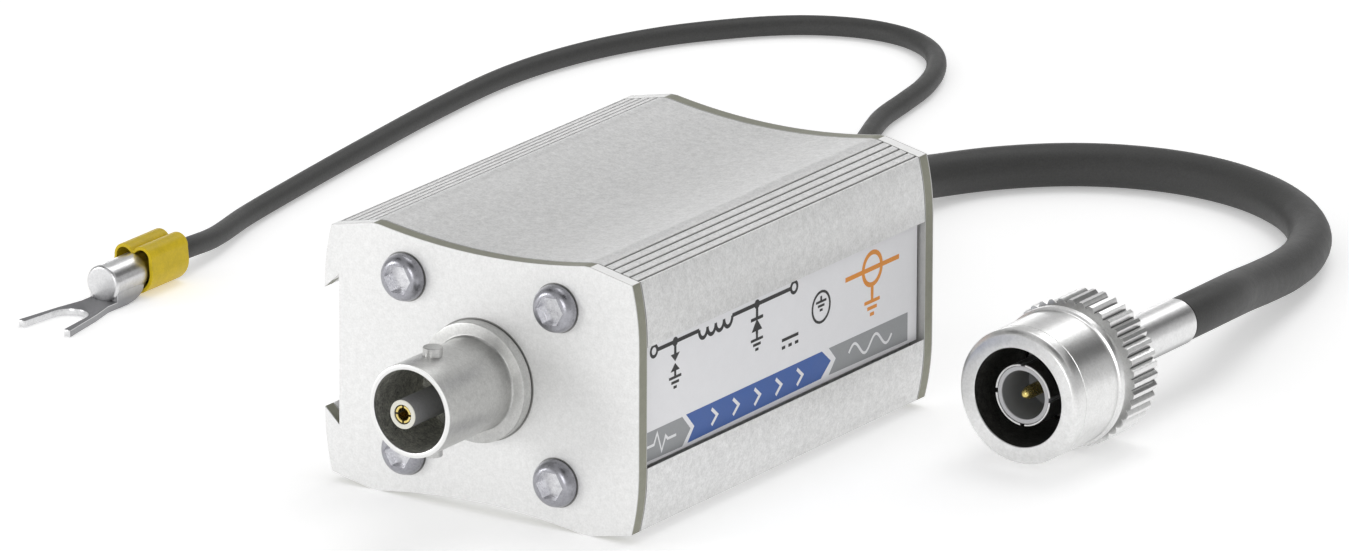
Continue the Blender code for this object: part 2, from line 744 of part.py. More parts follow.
# Board and what it carries
def board():
    """The circuit board in its two grooves, the gas tube, the coil in the line and the suppressor diode."""
    half = CAVITY_X - GAP
    box(
        "circuit_board",
        (-half, BOARD_FRONT_Y, BOARD_TOP_Z - BOARD),
        (half, BOARD_REAR_Y, BOARD_TOP_Z),
        "board",
    )
    cap_r = GAS_TUBE_R
    waist_r = GAS_TUBE_R - 0.0003
    length = GAS_TUBE_LENGTH
    gas_y = BOARD_FRONT_Y + BOARD_LENGTH * 0.18
    gas_place = at(-0.0062, gas_y, BOARD_TOP_Z + cap_r + THIN_GAP, BACKWARD)
    smooth(turned(
        "gas_discharge_tube",
        [
            (0.0, length),
            (cap_r - 0.0004, length),
            (cap_r, length - 0.0003),
            (cap_r, length - GAS_TUBE_CAP),
            (waist_r, length - GAS_TUBE_CAP),
            (waist_r, GAS_TUBE_CAP),
            (cap_r, GAS_TUBE_CAP),
            (cap_r, 0.0003),
            (cap_r - 0.0004, 0.0),
            (0.0, 0.0),
        ],
        gas_place,
        "ceramic",
        16,
    ))
    coil_y = BOARD_FRONT_Y + BOARD_LENGTH * 0.45
    coil_place = at(0, coil_y, BOARD_TOP_Z + COIL_R + THIN_GAP, BACKWARD)
    lead = 0.0025
    ridges = []
    turns = 5
    pitch = COIL_LENGTH / turns
    for turn in range(turns):
        top = COIL_LENGTH - turn * pitch
        ridges += [(COIL_R - 0.00025, top), (COIL_R, top - pitch / 2)]
    smooth(turned(
        "decoupling_coil",
        [(0.0, COIL_LENGTH + lead), (COIL_LEAD_R, COIL_LENGTH + lead), (COIL_LEAD_R, COIL_LENGTH)]
        + ridges
        + [(COIL_R - 0.00025, 0.0), (COIL_LEAD_R, 0.0), (COIL_LEAD_R, -lead), (0.0, -lead)],
        coil_place,
        "copper",
        14,
    ))
    diode_x = 0.0075
    diode_y = BOARD_FRONT_Y + BOARD_LENGTH * 0.74
    diode = box(
        "suppressor_diode",
        (diode_x - DIODE_WIDTH / 2, diode_y, BOARD_TOP_Z + SEAT),
        (diode_x + DIODE_WIDTH / 2, diode_y + DIODE_LENGTH, BOARD_TOP_Z + SEAT + DIODE_HEIGHT),
        "black",
    )
    edge = diode.modifiers.new("rounded edges", "BEVEL")
    edge.width = 0.0002
    edge.segments = 1


# Label
def label():
    """The rating label on the floor of the +X slot."""
    start_y = FRONT_Y + PLATE + SEAT
    low = (FLOOR_X + SEAT, start_y + SEAT, AXIS_Z - LABEL_HALF_HEIGHT)
    high = (FLOOR_X + SEAT + LABEL, start_y + BODY_LENGTH - LABEL_END_GAP, AXIS_Z + LABEL_HALF_HEIGHT)
    box("rating_label", low, high, "label")


# Cable glands
def gland(name, z, bore_r, head, head_r, mouth_r, neck_r):
    """A rubber bush snapped into the rear plate: tapered head outside, neck, and a flange inside."""
    flange_r = neck_r + 0.0007
    plate_in = -(PLATE + THIN_GAP)
    smooth(turned(
        name,
        [
            (mouth_r - 0.0003, head),
            (mouth_r, head - 0.0003),
            (head_r, 0.0008),
            (head_r, THIN_GAP),
            (neck_r, THIN_GAP),
            (neck_r, plate_in),
            (flange_r, plate_in),
            (flange_r, plate_in - GLAND_FLANGE),
            (bore_r, plate_in - GLAND_FLANGE),
            (bore_r, head),
        ],
        at(0, REAR_Y, z, BACKWARD),
        "black",
        24,
    ))


def glands():
    """One gland for the coax on the axis and one for the earth lead above it."""
    gland("coax_gland", AXIS_Z, COAX_R + GAP, GLAND_HEAD, GLAND_HEAD_R, GLAND_MOUTH_R, GLAND_NECK_R)
    gland(
        "earth_gland", AXIS_Z + EARTH_GLAND_Z, EARTH_WIRE_R + GAP, EARTH_GLAND_HEAD,
        EARTH_GLAND_HEAD_R, EARTH_GLAND_MOUTH_R, EARTH_GLAND_NECK_R,
    )


# Leads
def smooth_path(route, spacing):
    """Evenly spaced points on a smooth curve through the route points."""
    points = [Vector(point) for point in route]
    points = [2 * points[0] - points[1]] + points + [2 * points[-1] - points[-2]]
    dense = []
    parts = 16
    for index in range(1, len(points) - 2):
        before, start, end, after = points[index - 1:index + 3]
        span = (end - start).length
        leave = (end - before) / ((end - start).length + (start - before).length) * span
        arrive = (after - start) / ((after - end).length + (end - start).length) * span
        for step in range(parts):
            t = step / parts
            dense.append(
                start * (2 * t**3 - 3 * t**2 + 1) + leave * (t**3 - 2 * t**2 + t)
                + end * (3 * t**2 - 2 * t**3) + arrive * (t**3 - t**2)
            )
    dense.append(points[-2])
    lengths = [0.0]
    for first, second in zip(dense, dense[1:]):
        lengths.append(lengths[-1] + (second - first).length)
    count = max(2, round(lengths[-1] / spacing))
    even = []
    index = 0
    for step in range(count + 1):
        target = lengths[-1] * step / count
        while index < len(lengths) - 2 and lengths[index + 1] < target:
            index += 1
        share = (target - lengths[index]) / (lengths[index + 1] - lengths[index])
        even.append(dense[index].lerp(dense[index + 1], share))
    return even


def lead(name, route, radius, spacing, resolution):
    """A round lead along a smooth curve through its route points."""
    path = smooth_path(route, spacing)
    curve = bpy.data.curves.new(name, "CURVE")
    curve.dimensions = "3D"
    curve.bevel_depth = radius
    curve.bevel_resolution = resolution
    curve.use_fill_caps = True
    curve.twist_mode = "MINIMUM"
    spline = curve.splines.new("POLY")
    spline.points.add(len(path) - 1)
    for point, place in zip(spline.points, path):
        point.co = (*place, 1.0)
    return add_object(name, curve, "cable")


def leads():
    """The coax and earth leads, and the stripped end of the coax over the board."""
    plug_end_y = PLUG_FRONT_Y + PLUG_LENGTH + GAP
    coax_start = [(0, y, AXIS_Z) for y in (COAX_START_Y, REAR_Y - 0.002, REAR_Y + 0.004, REAR_Y + 0.0095)]
    coax_end = [(PLUG_X, plug_end_y + 0.0045, PLUG_Z), (PLUG_X, plug_end_y, PLUG_Z)]
    lead("coax_cable", coax_start + COAX_ROUTE + coax_end, COAX_R, 0.0065, 3)
    earth_z = AXIS_Z + EARTH_GLAND_Z
    wire_low_z = BOARD_TOP_Z + EARTH_WIRE_R + GAP
    inside = [
        (0.0026, REAR_Y - 0.0160, wire_low_z),
        (0.0026, REAR_Y - 0.0130, wire_low_z + 0.0003),
        (0.0017, REAR_Y - 0.0094, (wire_low_z + earth_z) / 2 - 0.0008),
        (0.0005, REAR_Y - 0.0056, earth_z - 0.0012),
        (0.0, REAR_Y - 0.0015, earth_z),
        (0.0, REAR_Y + 0.0035, earth_z),
    ]
    bore_end_y = BARREL_FRONT_Y + BARREL_FRONT_LENGTH - 0.0010
    into_fork = [
        (TERMINAL_X, SLEEVE_FRONT_Y + TERMINAL_SLEEVE_LENGTH + 0.0012, TERMINAL_AXIS_Z),
        (TERMINAL_X, BARREL_FRONT_Y + BARREL_LENGTH, TERMINAL_AXIS_Z),
        (TERMINAL_X, bore_end_y, TERMINAL_AXIS_Z),
    ]
    lead("earth_wire", inside + EARTH_ROUTE + into_fork, EARTH_WIRE_R, 0.0050, 2)
    core_start = -GAP
    core_end = core_start - CORE_LENGTH
    smooth(turned(
        "coax_core",
        [
            (0.0, core_start),
            (CORE_R, core_start),
            (CORE_R, core_end),
            (CONDUCTOR_R, core_end),
            (CONDUCTOR_R, core_end - CONDUCTOR_LENGTH),
            (0.0, core_end - CONDUCTOR_LENGTH),
        ],
        at(0, COAX_START_Y, AXIS_Z, BACKWARD),
        "core",
        16,
    ))


# Plug
def knurl_outline(tip_r, root_r, teeth):
    """Outline of straight knurling: flat-topped teeth round a circle."""
    pitch = 2 * math.pi / teeth
    points = []
    for tooth in range(teeth):
        middle = tooth * pitch - math.pi / 2
        for share, radius in ((-0.5, root_r), (-0.22, tip_r), (0.22, tip_r)):
            angle = middle + share * pitch
            points.append((radius * math.cos(angle), radius * math.sin(angle)))
    return points


def circle_outline(radius, count):
    """A circle as an outline."""
    turn = 2 * math.pi / count
    return [(radius * math.cos(step * turn), radius * math.sin(step * turn)) for step in range(count)]


def coupling_nut():
    """Knurled bayonet coupling nut: front ring with bevel, seam, band, relief, knurl and inner lip."""
    root_r = KNURL_R - KNURL_DEPTH
    core_r = root_r - 0.0003
    profile = [
        (RING_R - RING_BEVEL, 0.0),
        (RING_R, -RING_BEVEL),
        (RING_R, -(SEAM_AT - SEAM_DEPTH)),
        (RING_R - SEAM_DEPTH, -SEAM_AT),
        (RING_R, -(SEAM_AT + SEAM_DEPTH)),
        (RING_R, -BAND_AT),
        (BAND_R, -BAND_AT - 0.0002),
        (BAND_R, -BAND_AT - BAND),
        (RELIEF_R, -BAND_AT - BAND),
        (RELIEF_R, -KNURL_AT - 0.0004),
        (core_r, -KNURL_AT - 0.0004),
        (core_r, -NUT_LENGTH + 0.0003),
        (core_r - 0.0009, -NUT_LENGTH),
        (SHAFT_R + GAP, -NUT_LENGTH),
        (SHAFT_R + GAP, -LIP_AT),
        (NUT_CAVITY_R, -LIP_AT),
        (NUT_CAVITY_R, -COLLAR_AT + GAP),
        (RING_BORE_R, -COLLAR_AT + GAP),
        (RING_BORE_R, 0.0),
    ]
    nut = turned("coupling_nut", profile, at(PLUG_X, PLUG_FRONT_Y, PLUG_Z), "nickel", 40)
    knurl_place = Vector((PLUG_X, PLUG_FRONT_Y + KNURL_AT, PLUG_Z))
    outlines = [knurl_outline(KNURL_R, root_r, KNURL_TEETH), circle_outline(core_r - 0.0008, 40)]
    knurl = flat("coupling_nut_knurl", outlines, KNURL - 0.0002, knurl_place)
    boolean(nut, knurl, "UNION", "knurl")
    return smooth(nut, 28)


def plug_body():
    """Plug body: slotted outer contact sleeve, collar, shaft with a ring groove, and the crimp spigot."""
    spigot_end = SHAFT_END + SPIGOT_LENGTH
    pin_clear_r = PIN_R + THIN_GAP
    profile = [
        (SLEEVE_R - 0.0001, -SLEEVE_AT),
        (SLEEVE_R, -SLEEVE_AT - 0.0001),
        (SLEEVE_R, -COLLAR_AT + 0.0007),
        (SLEEVE_R + 0.0008, -COLLAR_AT),
        (COLLAR_R, -COLLAR_AT),
        (COLLAR_R, -COLLAR_AT - COLLAR),
        (SHAFT_R, -COLLAR_AT - COLLAR),
        (SHAFT_R, -SNAP_AT),
        (SNAP_GROOVE_R, -SNAP_AT),
        (SNAP_GROOVE_R, -SNAP_AT - SNAP_RING - THIN_GAP),
        (SHAFT_R, -SNAP_AT - SNAP_RING - THIN_GAP),
        (SHAFT_R, -SHAFT_END + 0.0002),
        (SHAFT_R - 0.0002, -SHAFT_END),
        (SPIGOT_R, -SHAFT_END),
        (SPIGOT_R, -spigot_end),
        (pin_clear_r, -spigot_end),
        (pin_clear_r, -SHAFT_END + 0.0015),
        (SLEEVE_BORE_R, -SHAFT_END + 0.0015),
        (SLEEVE_BORE_R, -SLEEVE_AT),
    ]
    body = turned("plug_body", profile, at(PLUG_X, PLUG_FRONT_Y, PLUG_Z), "nickel", 28)
    half = SLEEVE_SLOT / 2
    reach = SLEEVE_R + 0.0005
    front_y = PLUG_FRONT_Y + SLEEVE_AT - 0.0005
    back_y = PLUG_FRONT_Y + SLEEVE_AT + SLEEVE_SLOT_DEPTH
    upright = box(
        "plug_slot_upright",
        (PLUG_X - half, front_y, PLUG_Z - reach),
        (PLUG_X + half, back_y, PLUG_Z + reach),
    )
    level = box(
        "plug_slot_level",
        (PLUG_X - reach, front_y, PLUG_Z - half),
        (PLUG_X + reach, back_y, PLUG_Z + half),
    )
    boolean(body, upright, "DIFFERENCE", "upright slot")
    boolean(body, level, "DIFFERENCE", "level slot")
    return smooth(body)


def plug_inside():
    """Insulator, centre pin, ferrule and the snap ring that holds the coupling nut."""
    place = at(PLUG_X, PLUG_FRONT_Y, PLUG_Z)
    insulator_r = SLEEVE_BORE_R - SEAT
    insulator_end = SHAFT_END - 0.0015 - THIN_GAP
    cup_front = SLEEVE_AT + SEAT
    smooth(turned(
        "plug_insulator",
        [
            (insulator_r, -cup_front),
            (insulator_r, -insulator_end),
            (PIN_R + THIN_GAP, -insulator_end),
            (PIN_R + THIN_GAP, -PLUG_INSULATOR_AT),
            (CUP_BORE_R, -PLUG_INSULATOR_AT),
            (CUP_BORE_R, -cup_front),
        ],
        place,
        "insulator",
        32,
    ))
    smooth(turned(
        "plug_pin",
        [
            (0.0, -PIN_TIP_AT),
            (PIN_R * 0.35, -PIN_TIP_AT - 0.0001),
            (PIN_R, -PIN_TIP_AT - 0.0010),
            (PIN_R, -PIN_TIP_AT - PIN_LENGTH),
            (0.0, -PIN_TIP_AT - PIN_LENGTH),
        ],
        place,
        "gold",
        20,
    ))
    smooth(turned(
        "crimp_ferrule",
        [
            (FERRULE_R - 0.0001, -FERRULE_AT),
            (FERRULE_R, -FERRULE_AT - 0.0001),
            (FERRULE_R, -PLUG_LENGTH + 0.0001),
            (FERRULE_R - 0.0001, -PLUG_LENGTH),
            (FERRULE_BORE_R, -PLUG_LENGTH),
            (FERRULE_BORE_R, -FERRULE_AT),
        ],
        place,
        "nickel",
        28,
    ))
    ring_front = SNAP_AT + THIN_GAP / 2
    ring = turned(
        "snap_ring",
        [
            (SNAP_RING_R, -ring_front),
            (SNAP_RING_R, -ring_front - SNAP_RING),
            (SNAP_GROOVE_R + THIN_GAP, -ring_front - SNAP_RING),
            (SNAP_GROOVE_R + THIN_GAP, -ring_front),
        ],
        place,
        "screw",
        32,
    )
    mouth = box(
        "snap_ring_mouth",
        (PLUG_X - 0.0010, PLUG_FRONT_Y + SNAP_AT - 0.001, PLUG_Z),
        (PLUG_X + 0.0010, PLUG_FRONT_Y + SNAP_AT + SNAP_RING + 0.001, PLUG_Z + SNAP_RING_R + 0.001),
    )
    boolean(ring, mouth, "DIFFERENCE", "mouth")


def nut_washers():
    """Wave spring and thrust washer between the body's collar and the nut's inner lip."""
    inner_r = SHAFT_R + GAP
    outer_r = COLLAR_R - 0.0001
    washer_back = LIP_AT - SEAT
    smooth(turned(
        "thrust_washer",
        [
            (outer_r, -washer_back + THRUST_WASHER),
            (outer_r, -washer_back),
            (inner_r, -washer_back),
            (inner_r, -washer_back + THRUST_WASHER),
        ],
        at(PLUG_X, PLUG_FRONT_Y, PLUG_Z),
        "screw",
        32,
    ))
    bm = bmesh.new()
    ends = [bm.verts.new((inner_r + 0.0001, 0, 0)), bm.verts.new((outer_r - 0.0001, 0, 0))]
    bm.edges.new(ends)
    mesh = bpy.data.meshes.new("wave_washer")
    bm.to_mesh(mesh)
    bm.free()
    wave = add_object("wave_washer", mesh, "screw")
    turn = wave.modifiers.new("turn", "SCREW")
    turn.steps = 36
    turn.render_steps = 36
    turn.use_merge_vertices = True
    turn.merge_threshold = 0.00001
    wave = as_mesh(wave, "screw")
    lift = (WAVE_HEIGHT - WAVE_SHEET) / 2
    for vertex in wave.data.vertices:
        angle = math.atan2(vertex.co.y, vertex.co.x)
        vertex.co.z = lift * math.sin(WAVE_COUNT * angle)
    sheet = wave.modifiers.new("sheet", "SOLIDIFY")
    sheet.thickness = WAVE_SHEET
    sheet.offset = 0.0
    middle = (COLLAR_AT + COLLAR + washer_back - THRUST_WASHER) / 2
    wave.matrix_world = at(PLUG_X, PLUG_FRONT_Y + middle, PLUG_Z)


# Fork terminal
def fork_outline():
    """Outline of the tongue seen from above: x across, the second value runs forward from the barrel's front."""
    root_centre = FORK_SHOULDER + SLOT_ROOT_R - 0.0006
    right_outer = [
        (NECK_HALF_WIDTH, -TONGUE_BACK),
        (NECK_HALF_WIDTH, 0.0012),
        (FORK_SHOULDER_HALF_WIDTH, FORK_SHOULDER),
        (FORK_HALF_WIDTH, FORK_LENGTH),
    ]
    right_inner = [(SLOT_MOUTH_HALF_WIDTH, FORK_LENGTH)]
    steps = 12
    root = []
    for step in range(steps + 1):
        angle = math.pi * step / steps
        root.append((SLOT_ROOT_R * math.cos(angle), root_centre - SLOT_ROOT_R * math.sin(angle)))
    left_inner = [(-x, along) for x, along in reversed(right_inner)]
    left_outer = [(-x, along) for x, along in reversed(right_outer)]
    return right_outer + right_inner + root + left_inner + left_outer


def fork_terminal():
    """Fork tongue and closed crimp barrel in one stamped piece."""
    curve = bpy.data.curves.new("fork_terminal", "CURVE")
    curve.dimensions = "2D"
    curve.fill_mode = "BOTH"
    curve.extrude = TONGUE / 2
    outline = fork_outline()
    spline = curve.splines.new("POLY")
    spline.points.add(len(outline) - 1)
    for point, (x, along) in zip(spline.points, outline):
        point.co = (x, -along, 0.0, 1.0)
    spline.use_cyclic_u = True
    fork = add_object("fork_terminal", curve, "tin")
    fork.matrix_world = Matrix.Translation((TERMINAL_X, BARREL_FRONT_Y, TONGUE / 2 + REST))
    fork = as_mesh(fork, "tin")
    rounding = []
    steps = 4
    for step in range(steps + 1):
        angle = math.radians(90 * step / steps)
        rounding.append((
            BARREL_R - BARREL_ROUND + BARREL_ROUND * math.sin(angle),
            BARREL_ROUND * math.cos(angle) - BARREL_ROUND,
        ))
    bore_r = EARTH_WIRE_R + THIN_GAP
    bore_floor = -BARREL_FRONT_LENGTH + 0.0013
    profile = [(0.0, 0.0)] + rounding + [
        (BARREL_R, -BARREL_FRONT_LENGTH),
        (CRIMP_R, -BARREL_FRONT_LENGTH),
        (CRIMP_R, -BARREL_LENGTH),
        (bore_r, -BARREL_LENGTH),
        (bore_r, bore_floor),
        (0.0, bore_floor),
    ]
    barrel = turned("fork_barrel", profile, at(TERMINAL_X, BARREL_FRONT_Y, TERMINAL_AXIS_Z), None, 24)
    boolean(fork, barrel, "UNION", "barrel")
    return smooth(fork)


def sleeve_outline(wall):
    """Heart-shaped section of the folded sleeve, `wall` inside its outer face."""
    low_r = TERMINAL_SLEEVE_R - wall
    lobe_r = LOBE_R - wall
    groove_z = CRIMP_R + THIN_GAP + TERMINAL_SLEEVE_WALL - wall
    right_lobe = []
    for step in range(9):
        angle = math.radians(-5 + 140 * step / 8)
        right_lobe.append((LOBE_X + lobe_r * math.cos(angle), LOBE_RISE + lobe_r * math.sin(angle)))
    left_lobe = [(-x, z) for x, z in reversed(right_lobe)]
    low = []
    for step in range(17):
        angle = math.pi + math.pi * step / 16
        low.append((low_r * math.cos(angle), low_r * math.sin(angle)))
    return low + right_lobe + [(0.0, groove_z)] + left_lobe


def terminal_sleeve():
    """Yellow insulating sleeve, folded over in two lobes on top, with a wall behind that closes round the wire."""
    place = Vector((TERMINAL_X, SLEEVE_FRONT_Y, TERMINAL_AXIS_Z))
    outer = sleeve_outline(0.0)
    inner = sleeve_outline(TERMINAL_SLEEVE_WALL)
    sleeve = flat("terminal_sleeve", [outer, inner], TERMINAL_SLEEVE_LENGTH, place, "yellow")
    wall_place = place + Vector((0, TERMINAL_SLEEVE_LENGTH - SLEEVE_END_WALL, 0))
    bore = circle_outline(EARTH_WIRE_R + GAP, 24)
    end_wall = flat(
        "terminal_sleeve_end",
        [sleeve_outline(TERMINAL_SLEEVE_WALL / 2), bore],
        SLEEVE_END_WALL - SEAT,
        wall_place,
    )
    boolean(sleeve, end_wall, "UNION", "end wall")
    return smooth(sleeve)


def build():
    """Every sub-part in its place."""
    housing()
    plate_holes = [(x, z, SHANK_R + GAP) for _, x, z in screw_places()]
    end_plate("front_plate", FRONT_Y, plate_holes + [(0, AXIS_Z, TAIL_R + THIN_GAP)])
    rear_holes = [
        (0, AXIS_Z, GLAND_NECK_R + THIN_GAP),
        (0, AXIS_Z + EARTH_GLAND_Z, EARTH_GLAND_NECK_R + THIN_GAP),
    ]
    end_plate("rear_plate", REAR_Y - PLATE, plate_holes + rear_holes)
    screws()
    jack()
    board()
    label()
    glands()
    leads()
    coupling_nut()
    plug_body()
    plug_inside()
    nut_washers()
    fork_terminal()
    terminal_sleeve()


build()
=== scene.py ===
"""Coax lightning arrestor: blasted aluminium case with a bayonet jack, a flying coax plug and an earth lead."""
import math

import bpy
from bpy.props import FloatProperty, FloatVectorProperty, PointerProperty
from mathutils import Matrix, Vector


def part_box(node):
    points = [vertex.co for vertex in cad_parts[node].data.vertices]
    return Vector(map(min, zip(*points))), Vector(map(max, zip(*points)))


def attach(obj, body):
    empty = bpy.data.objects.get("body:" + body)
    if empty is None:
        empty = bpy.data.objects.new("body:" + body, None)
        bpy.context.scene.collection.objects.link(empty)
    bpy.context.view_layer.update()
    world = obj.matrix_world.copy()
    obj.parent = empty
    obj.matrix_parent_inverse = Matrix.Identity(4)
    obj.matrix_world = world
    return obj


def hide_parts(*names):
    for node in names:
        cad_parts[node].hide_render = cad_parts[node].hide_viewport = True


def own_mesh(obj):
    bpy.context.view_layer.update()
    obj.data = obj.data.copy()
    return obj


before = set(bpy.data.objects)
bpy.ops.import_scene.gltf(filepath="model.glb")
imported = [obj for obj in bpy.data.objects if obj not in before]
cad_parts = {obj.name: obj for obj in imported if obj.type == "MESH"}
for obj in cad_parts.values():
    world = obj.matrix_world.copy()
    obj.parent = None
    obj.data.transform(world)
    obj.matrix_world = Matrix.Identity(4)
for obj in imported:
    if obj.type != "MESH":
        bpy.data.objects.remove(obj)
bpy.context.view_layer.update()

bl_info = {
    "name": "Coax Lightning Arrestor",
    "version": (1, 0, 0),
    "blender": (4, 5, 0),
    "location": "View3D > Sidebar > Arrestor",
    "description": "Dresses the frame of a coax lightning arrestor with finely modelled pieces and finishes",
    "category": "Object",
}

MM = 0.001



def middle_of(node, letter):
    """The middle of a CAD node's box along one axis."""
    low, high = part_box(node)
    return (getattr(low, letter) + getattr(high, letter)) / 2


# Places that come from the frame
FRONT_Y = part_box("front_plate")[0].y
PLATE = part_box("front_plate")[1].y - FRONT_Y
REAR_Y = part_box("rear_plate")[1].y
BODY_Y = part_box("housing")[0].y
BODY_END_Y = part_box("housing")[1].y
AXIS_Z = middle_of("housing", "z")
PLUG_X = middle_of("coupling_nut", "x")
PLUG_Z = middle_of("coupling_nut", "z")
PLUG_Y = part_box("coupling_nut")[0].y
FORK_X = middle_of("fork_terminal", "x")
SLEEVE_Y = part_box("terminal_sleeve")[0].y
SLEEVE_END_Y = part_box("terminal_sleeve")[1].y

# Places, lengths and gaps that the CAD has too, but that no box gives
SEAT = 0.0001
JACK_LENGTH = 0.0125
LUG_BEHIND_RIM = 0.0041
EARTH_RISE = 0.0085    # the earth lead's gland above the case's axis
COAX_GLAND_HEAD = 0.0050
EARTH_GLAND_HEAD = 0.0022
FORK_Z = 0.0026
BARREL_Y = 0.01065

# The label's film and print
LABEL_RISE = 0.0006    # the film lies on a carrier, this much above the CAD label
PRINT_SHIFT = (-0.8, 0.3)    # millimetres along y and z that every mark is moved by
INK_STEP = 0.0000006    # each mark is this much thicker than the last, so that no two faces share a plane

# The photograph's view: where the camera stands, from +Y towards +X, upwards and rolled, and what it looks at
CAMERA_AZIMUTH, CAMERA_ELEVATION, CAMERA_ROLL = 146.375, 17.588, 0.194
CAMERA_AIM = (0.023215, -0.02265, 0.02908)
CAMERA_DISTANCE = 1.41219
CAMERA_LENS = 381.81
LAMP_AIM = (0, 0.02, 0.015)
CARD_CENTRE = (0, 0, 0.015)

# Case section
SIDE_X = 0.0190
SIDE_FLAT_Z = 0.0065
CORNER_X = 0.01816
CORNER_Z = 0.01301
RIDGE_X = 0.0128
RIDGE_Z = 0.01405
RIDGE_FLAT = 0.0008
CROWN_Z = 0.01298
SLOT_LIP_Z = 0.0063
SLOT_FLOOR_Z = 0.00795
SLOT_DEPTH = 0.00176
SHOULDER = Vector((CORNER_X, CORNER_Z)), Vector((RIDGE_X + RIDGE_FLAT / 2, RIDGE_Z))
GROOVES = 5
FIRST_GROOVE = 0.35    # in groove pitches from the corner
SCREW_X = 0.0092
SCREW_Z = 0.00914

# Modelling
DOUBLES = 0.0000015    # vertices closer than this are one
LEAD_SPACING = 0.0012
LEAD_RESOLUTION = 12
GRAIN_DEPTH = 0.00006

# Routes of the leads, from inside the case to the far end
COAX_ROUTE = [
    (0, 0.02335, 0.01405), (0, 0.02935, 0.01405), (0, 0.03535, 0.01405), (0, 0.04085, 0.01405),
    (-0.0015, 0.0478, 0.0134), (-0.0052, 0.0566, 0.0118), (-0.0104, 0.0654, 0.0094), (-0.0156, 0.0742, 0.0066),
    (-0.0190, 0.0832, 0.0043), (-0.0192, 0.0910, 0.0029), (-0.0164, 0.0979, 0.00245), (-0.0120, 0.1028, 0.0024),
    (-0.0072, 0.1060, 0.0024), (-0.0019, 0.1079, 0.0024), (0.0037, 0.1085, 0.0024), (0.0093, 0.1077, 0.0024),
    (0.0150, 0.1054, 0.0024), (0.0203, 0.1016, 0.0024), (0.0250, 0.0960, 0.0025), (0.0284, 0.0890, 0.0029),
    (0.0306, 0.0819, 0.0036), (0.0323, 0.0744, 0.0046), (0.0342, 0.0670, 0.0059), (0.0363, 0.0602, 0.0072),
    (0.03727, 0.05417, 0.00778), (0.03727, 0.04967, 0.00778),
]
EARTH_ROUTE = [
    (0.0026, 0.01535, 0.01457), (0.0026, 0.01835, 0.01487), (0.0017, 0.02195, 0.01776), (0.0005, 0.02575, 0.02135),
    (0, 0.02985, 0.02255), (0, 0.03485, 0.02255), (-0.0014, 0.0405, 0.0218), (-0.0046, 0.0467, 0.0195),
    (-0.0089, 0.0535, 0.0158), (-0.0135, 0.0605, 0.0116), (-0.0180, 0.0677, 0.0077), (-0.0223, 0.0751, 0.0046),
    (-0.0263, 0.0826, 0.0025), (-0.0299, 0.0899, 0.0014), (-0.0330, 0.0970, 0.00118), (-0.0358, 0.1038, 0.00118),
    (-0.0383, 0.1105, 0.00118), (-0.0396, 0.1172, 0.00118), (-0.0409, 0.1232, 0.00118), (-0.0434, 0.1294, 0.00118),
    (-0.0471, 0.1345, 0.00118), (-0.0517, 0.1375, 0.00118), (-0.0566, 0.1383, 0.00118), (-0.0613, 0.1373, 0.00118),
    (-0.0658, 0.1348, 0.00118), (-0.0703, 0.1303, 0.00118), (-0.0755, 0.1226, 0.00118), (-0.0793, 0.1127, 0.00118),
    (-0.0810, 0.1012, 0.00118), (-0.0804, 0.0868, 0.00118), (-0.0784, 0.0684, 0.00118), (-0.0764, 0.0527, 0.00118),
    (-0.0747, 0.0421, 0.0013), (-0.0720, 0.0324, 0.0019),
    (-0.0709, 0.02565, 0.0026), (-0.0709, 0.01995, 0.0026), (-0.0709, 0.01515, 0.0026),
]


class ArrestorSizes(bpy.types.PropertyGroup):
    """Fine sizes of the dressed pieces."""

    plate_bevel: FloatProperty(
        name="Plate Bevel", description="Width of the end plates' broken edges", default=0.00009, unit="LENGTH"
    )
    groove_width: FloatProperty(
        name="Groove Width", description="Width of each shoulder groove", default=0.00028, unit="LENGTH"
    )
    groove_depth: FloatProperty(
        name="Groove Depth", description="Depth of each shoulder groove", default=0.00026, unit="LENGTH"
    )
    coax_diameter: FloatProperty(
        name="Coax Diameter", description="Outside diameter of the coax lead", default=0.0047, unit="LENGTH"
    )
    earth_diameter: FloatProperty(
        name="Earth Diameter", description="Outside diameter of the earth lead", default=0.00224, unit="LENGTH"
    )
    print_height: FloatProperty(
        name="Print Height", description="Thickness of the print on the label", default=0.00001, unit="LENGTH"
    )


class ArrestorFinishes(bpy.types.PropertyGroup):
    """Colours and surface grain."""

    case_colour: FloatVectorProperty(
        name="Case", description="Blasted aluminium of the case", default=(0.79, 0.79, 0.78), subtype="COLOR"
    )
    plate_colour: FloatVectorProperty(
        name="End Plates", description="Front faces of the end plates", default=(0.90, 0.90, 0.885), subtype="COLOR"
    )
    rim_colour: FloatVectorProperty(
        name="Plate Rims", description="Sawn rims of the end plates", default=(0.30, 0.30, 0.245), subtype="COLOR"
    )
    nickel_colour: FloatVectorProperty(
        name="Nickel", description="Plated jack and plug", default=(0.78, 0.78, 0.765), subtype="COLOR"
    )
    cable_colour: FloatVectorProperty(
        name="Leads", description="Sheath of both leads", default=(0.042, 0.042, 0.041), subtype="COLOR"
    )
    sleeve_colour: FloatVectorProperty(
        name="Terminal Sleeve", description="Plastic of the terminal sleeve", default=(0.60, 0.44, 0.010),
        subtype="COLOR",
    )
    label_colour: FloatVectorProperty(
        name="Label", description="Ground of the rating label", default=(0.82, 0.82, 0.84), subtype="COLOR"
    )
    grain: FloatProperty(
        name="Grain", description="Strength of the blasted grain", default=1.0, min=0.0, max=2.0, subtype="FACTOR"
    )


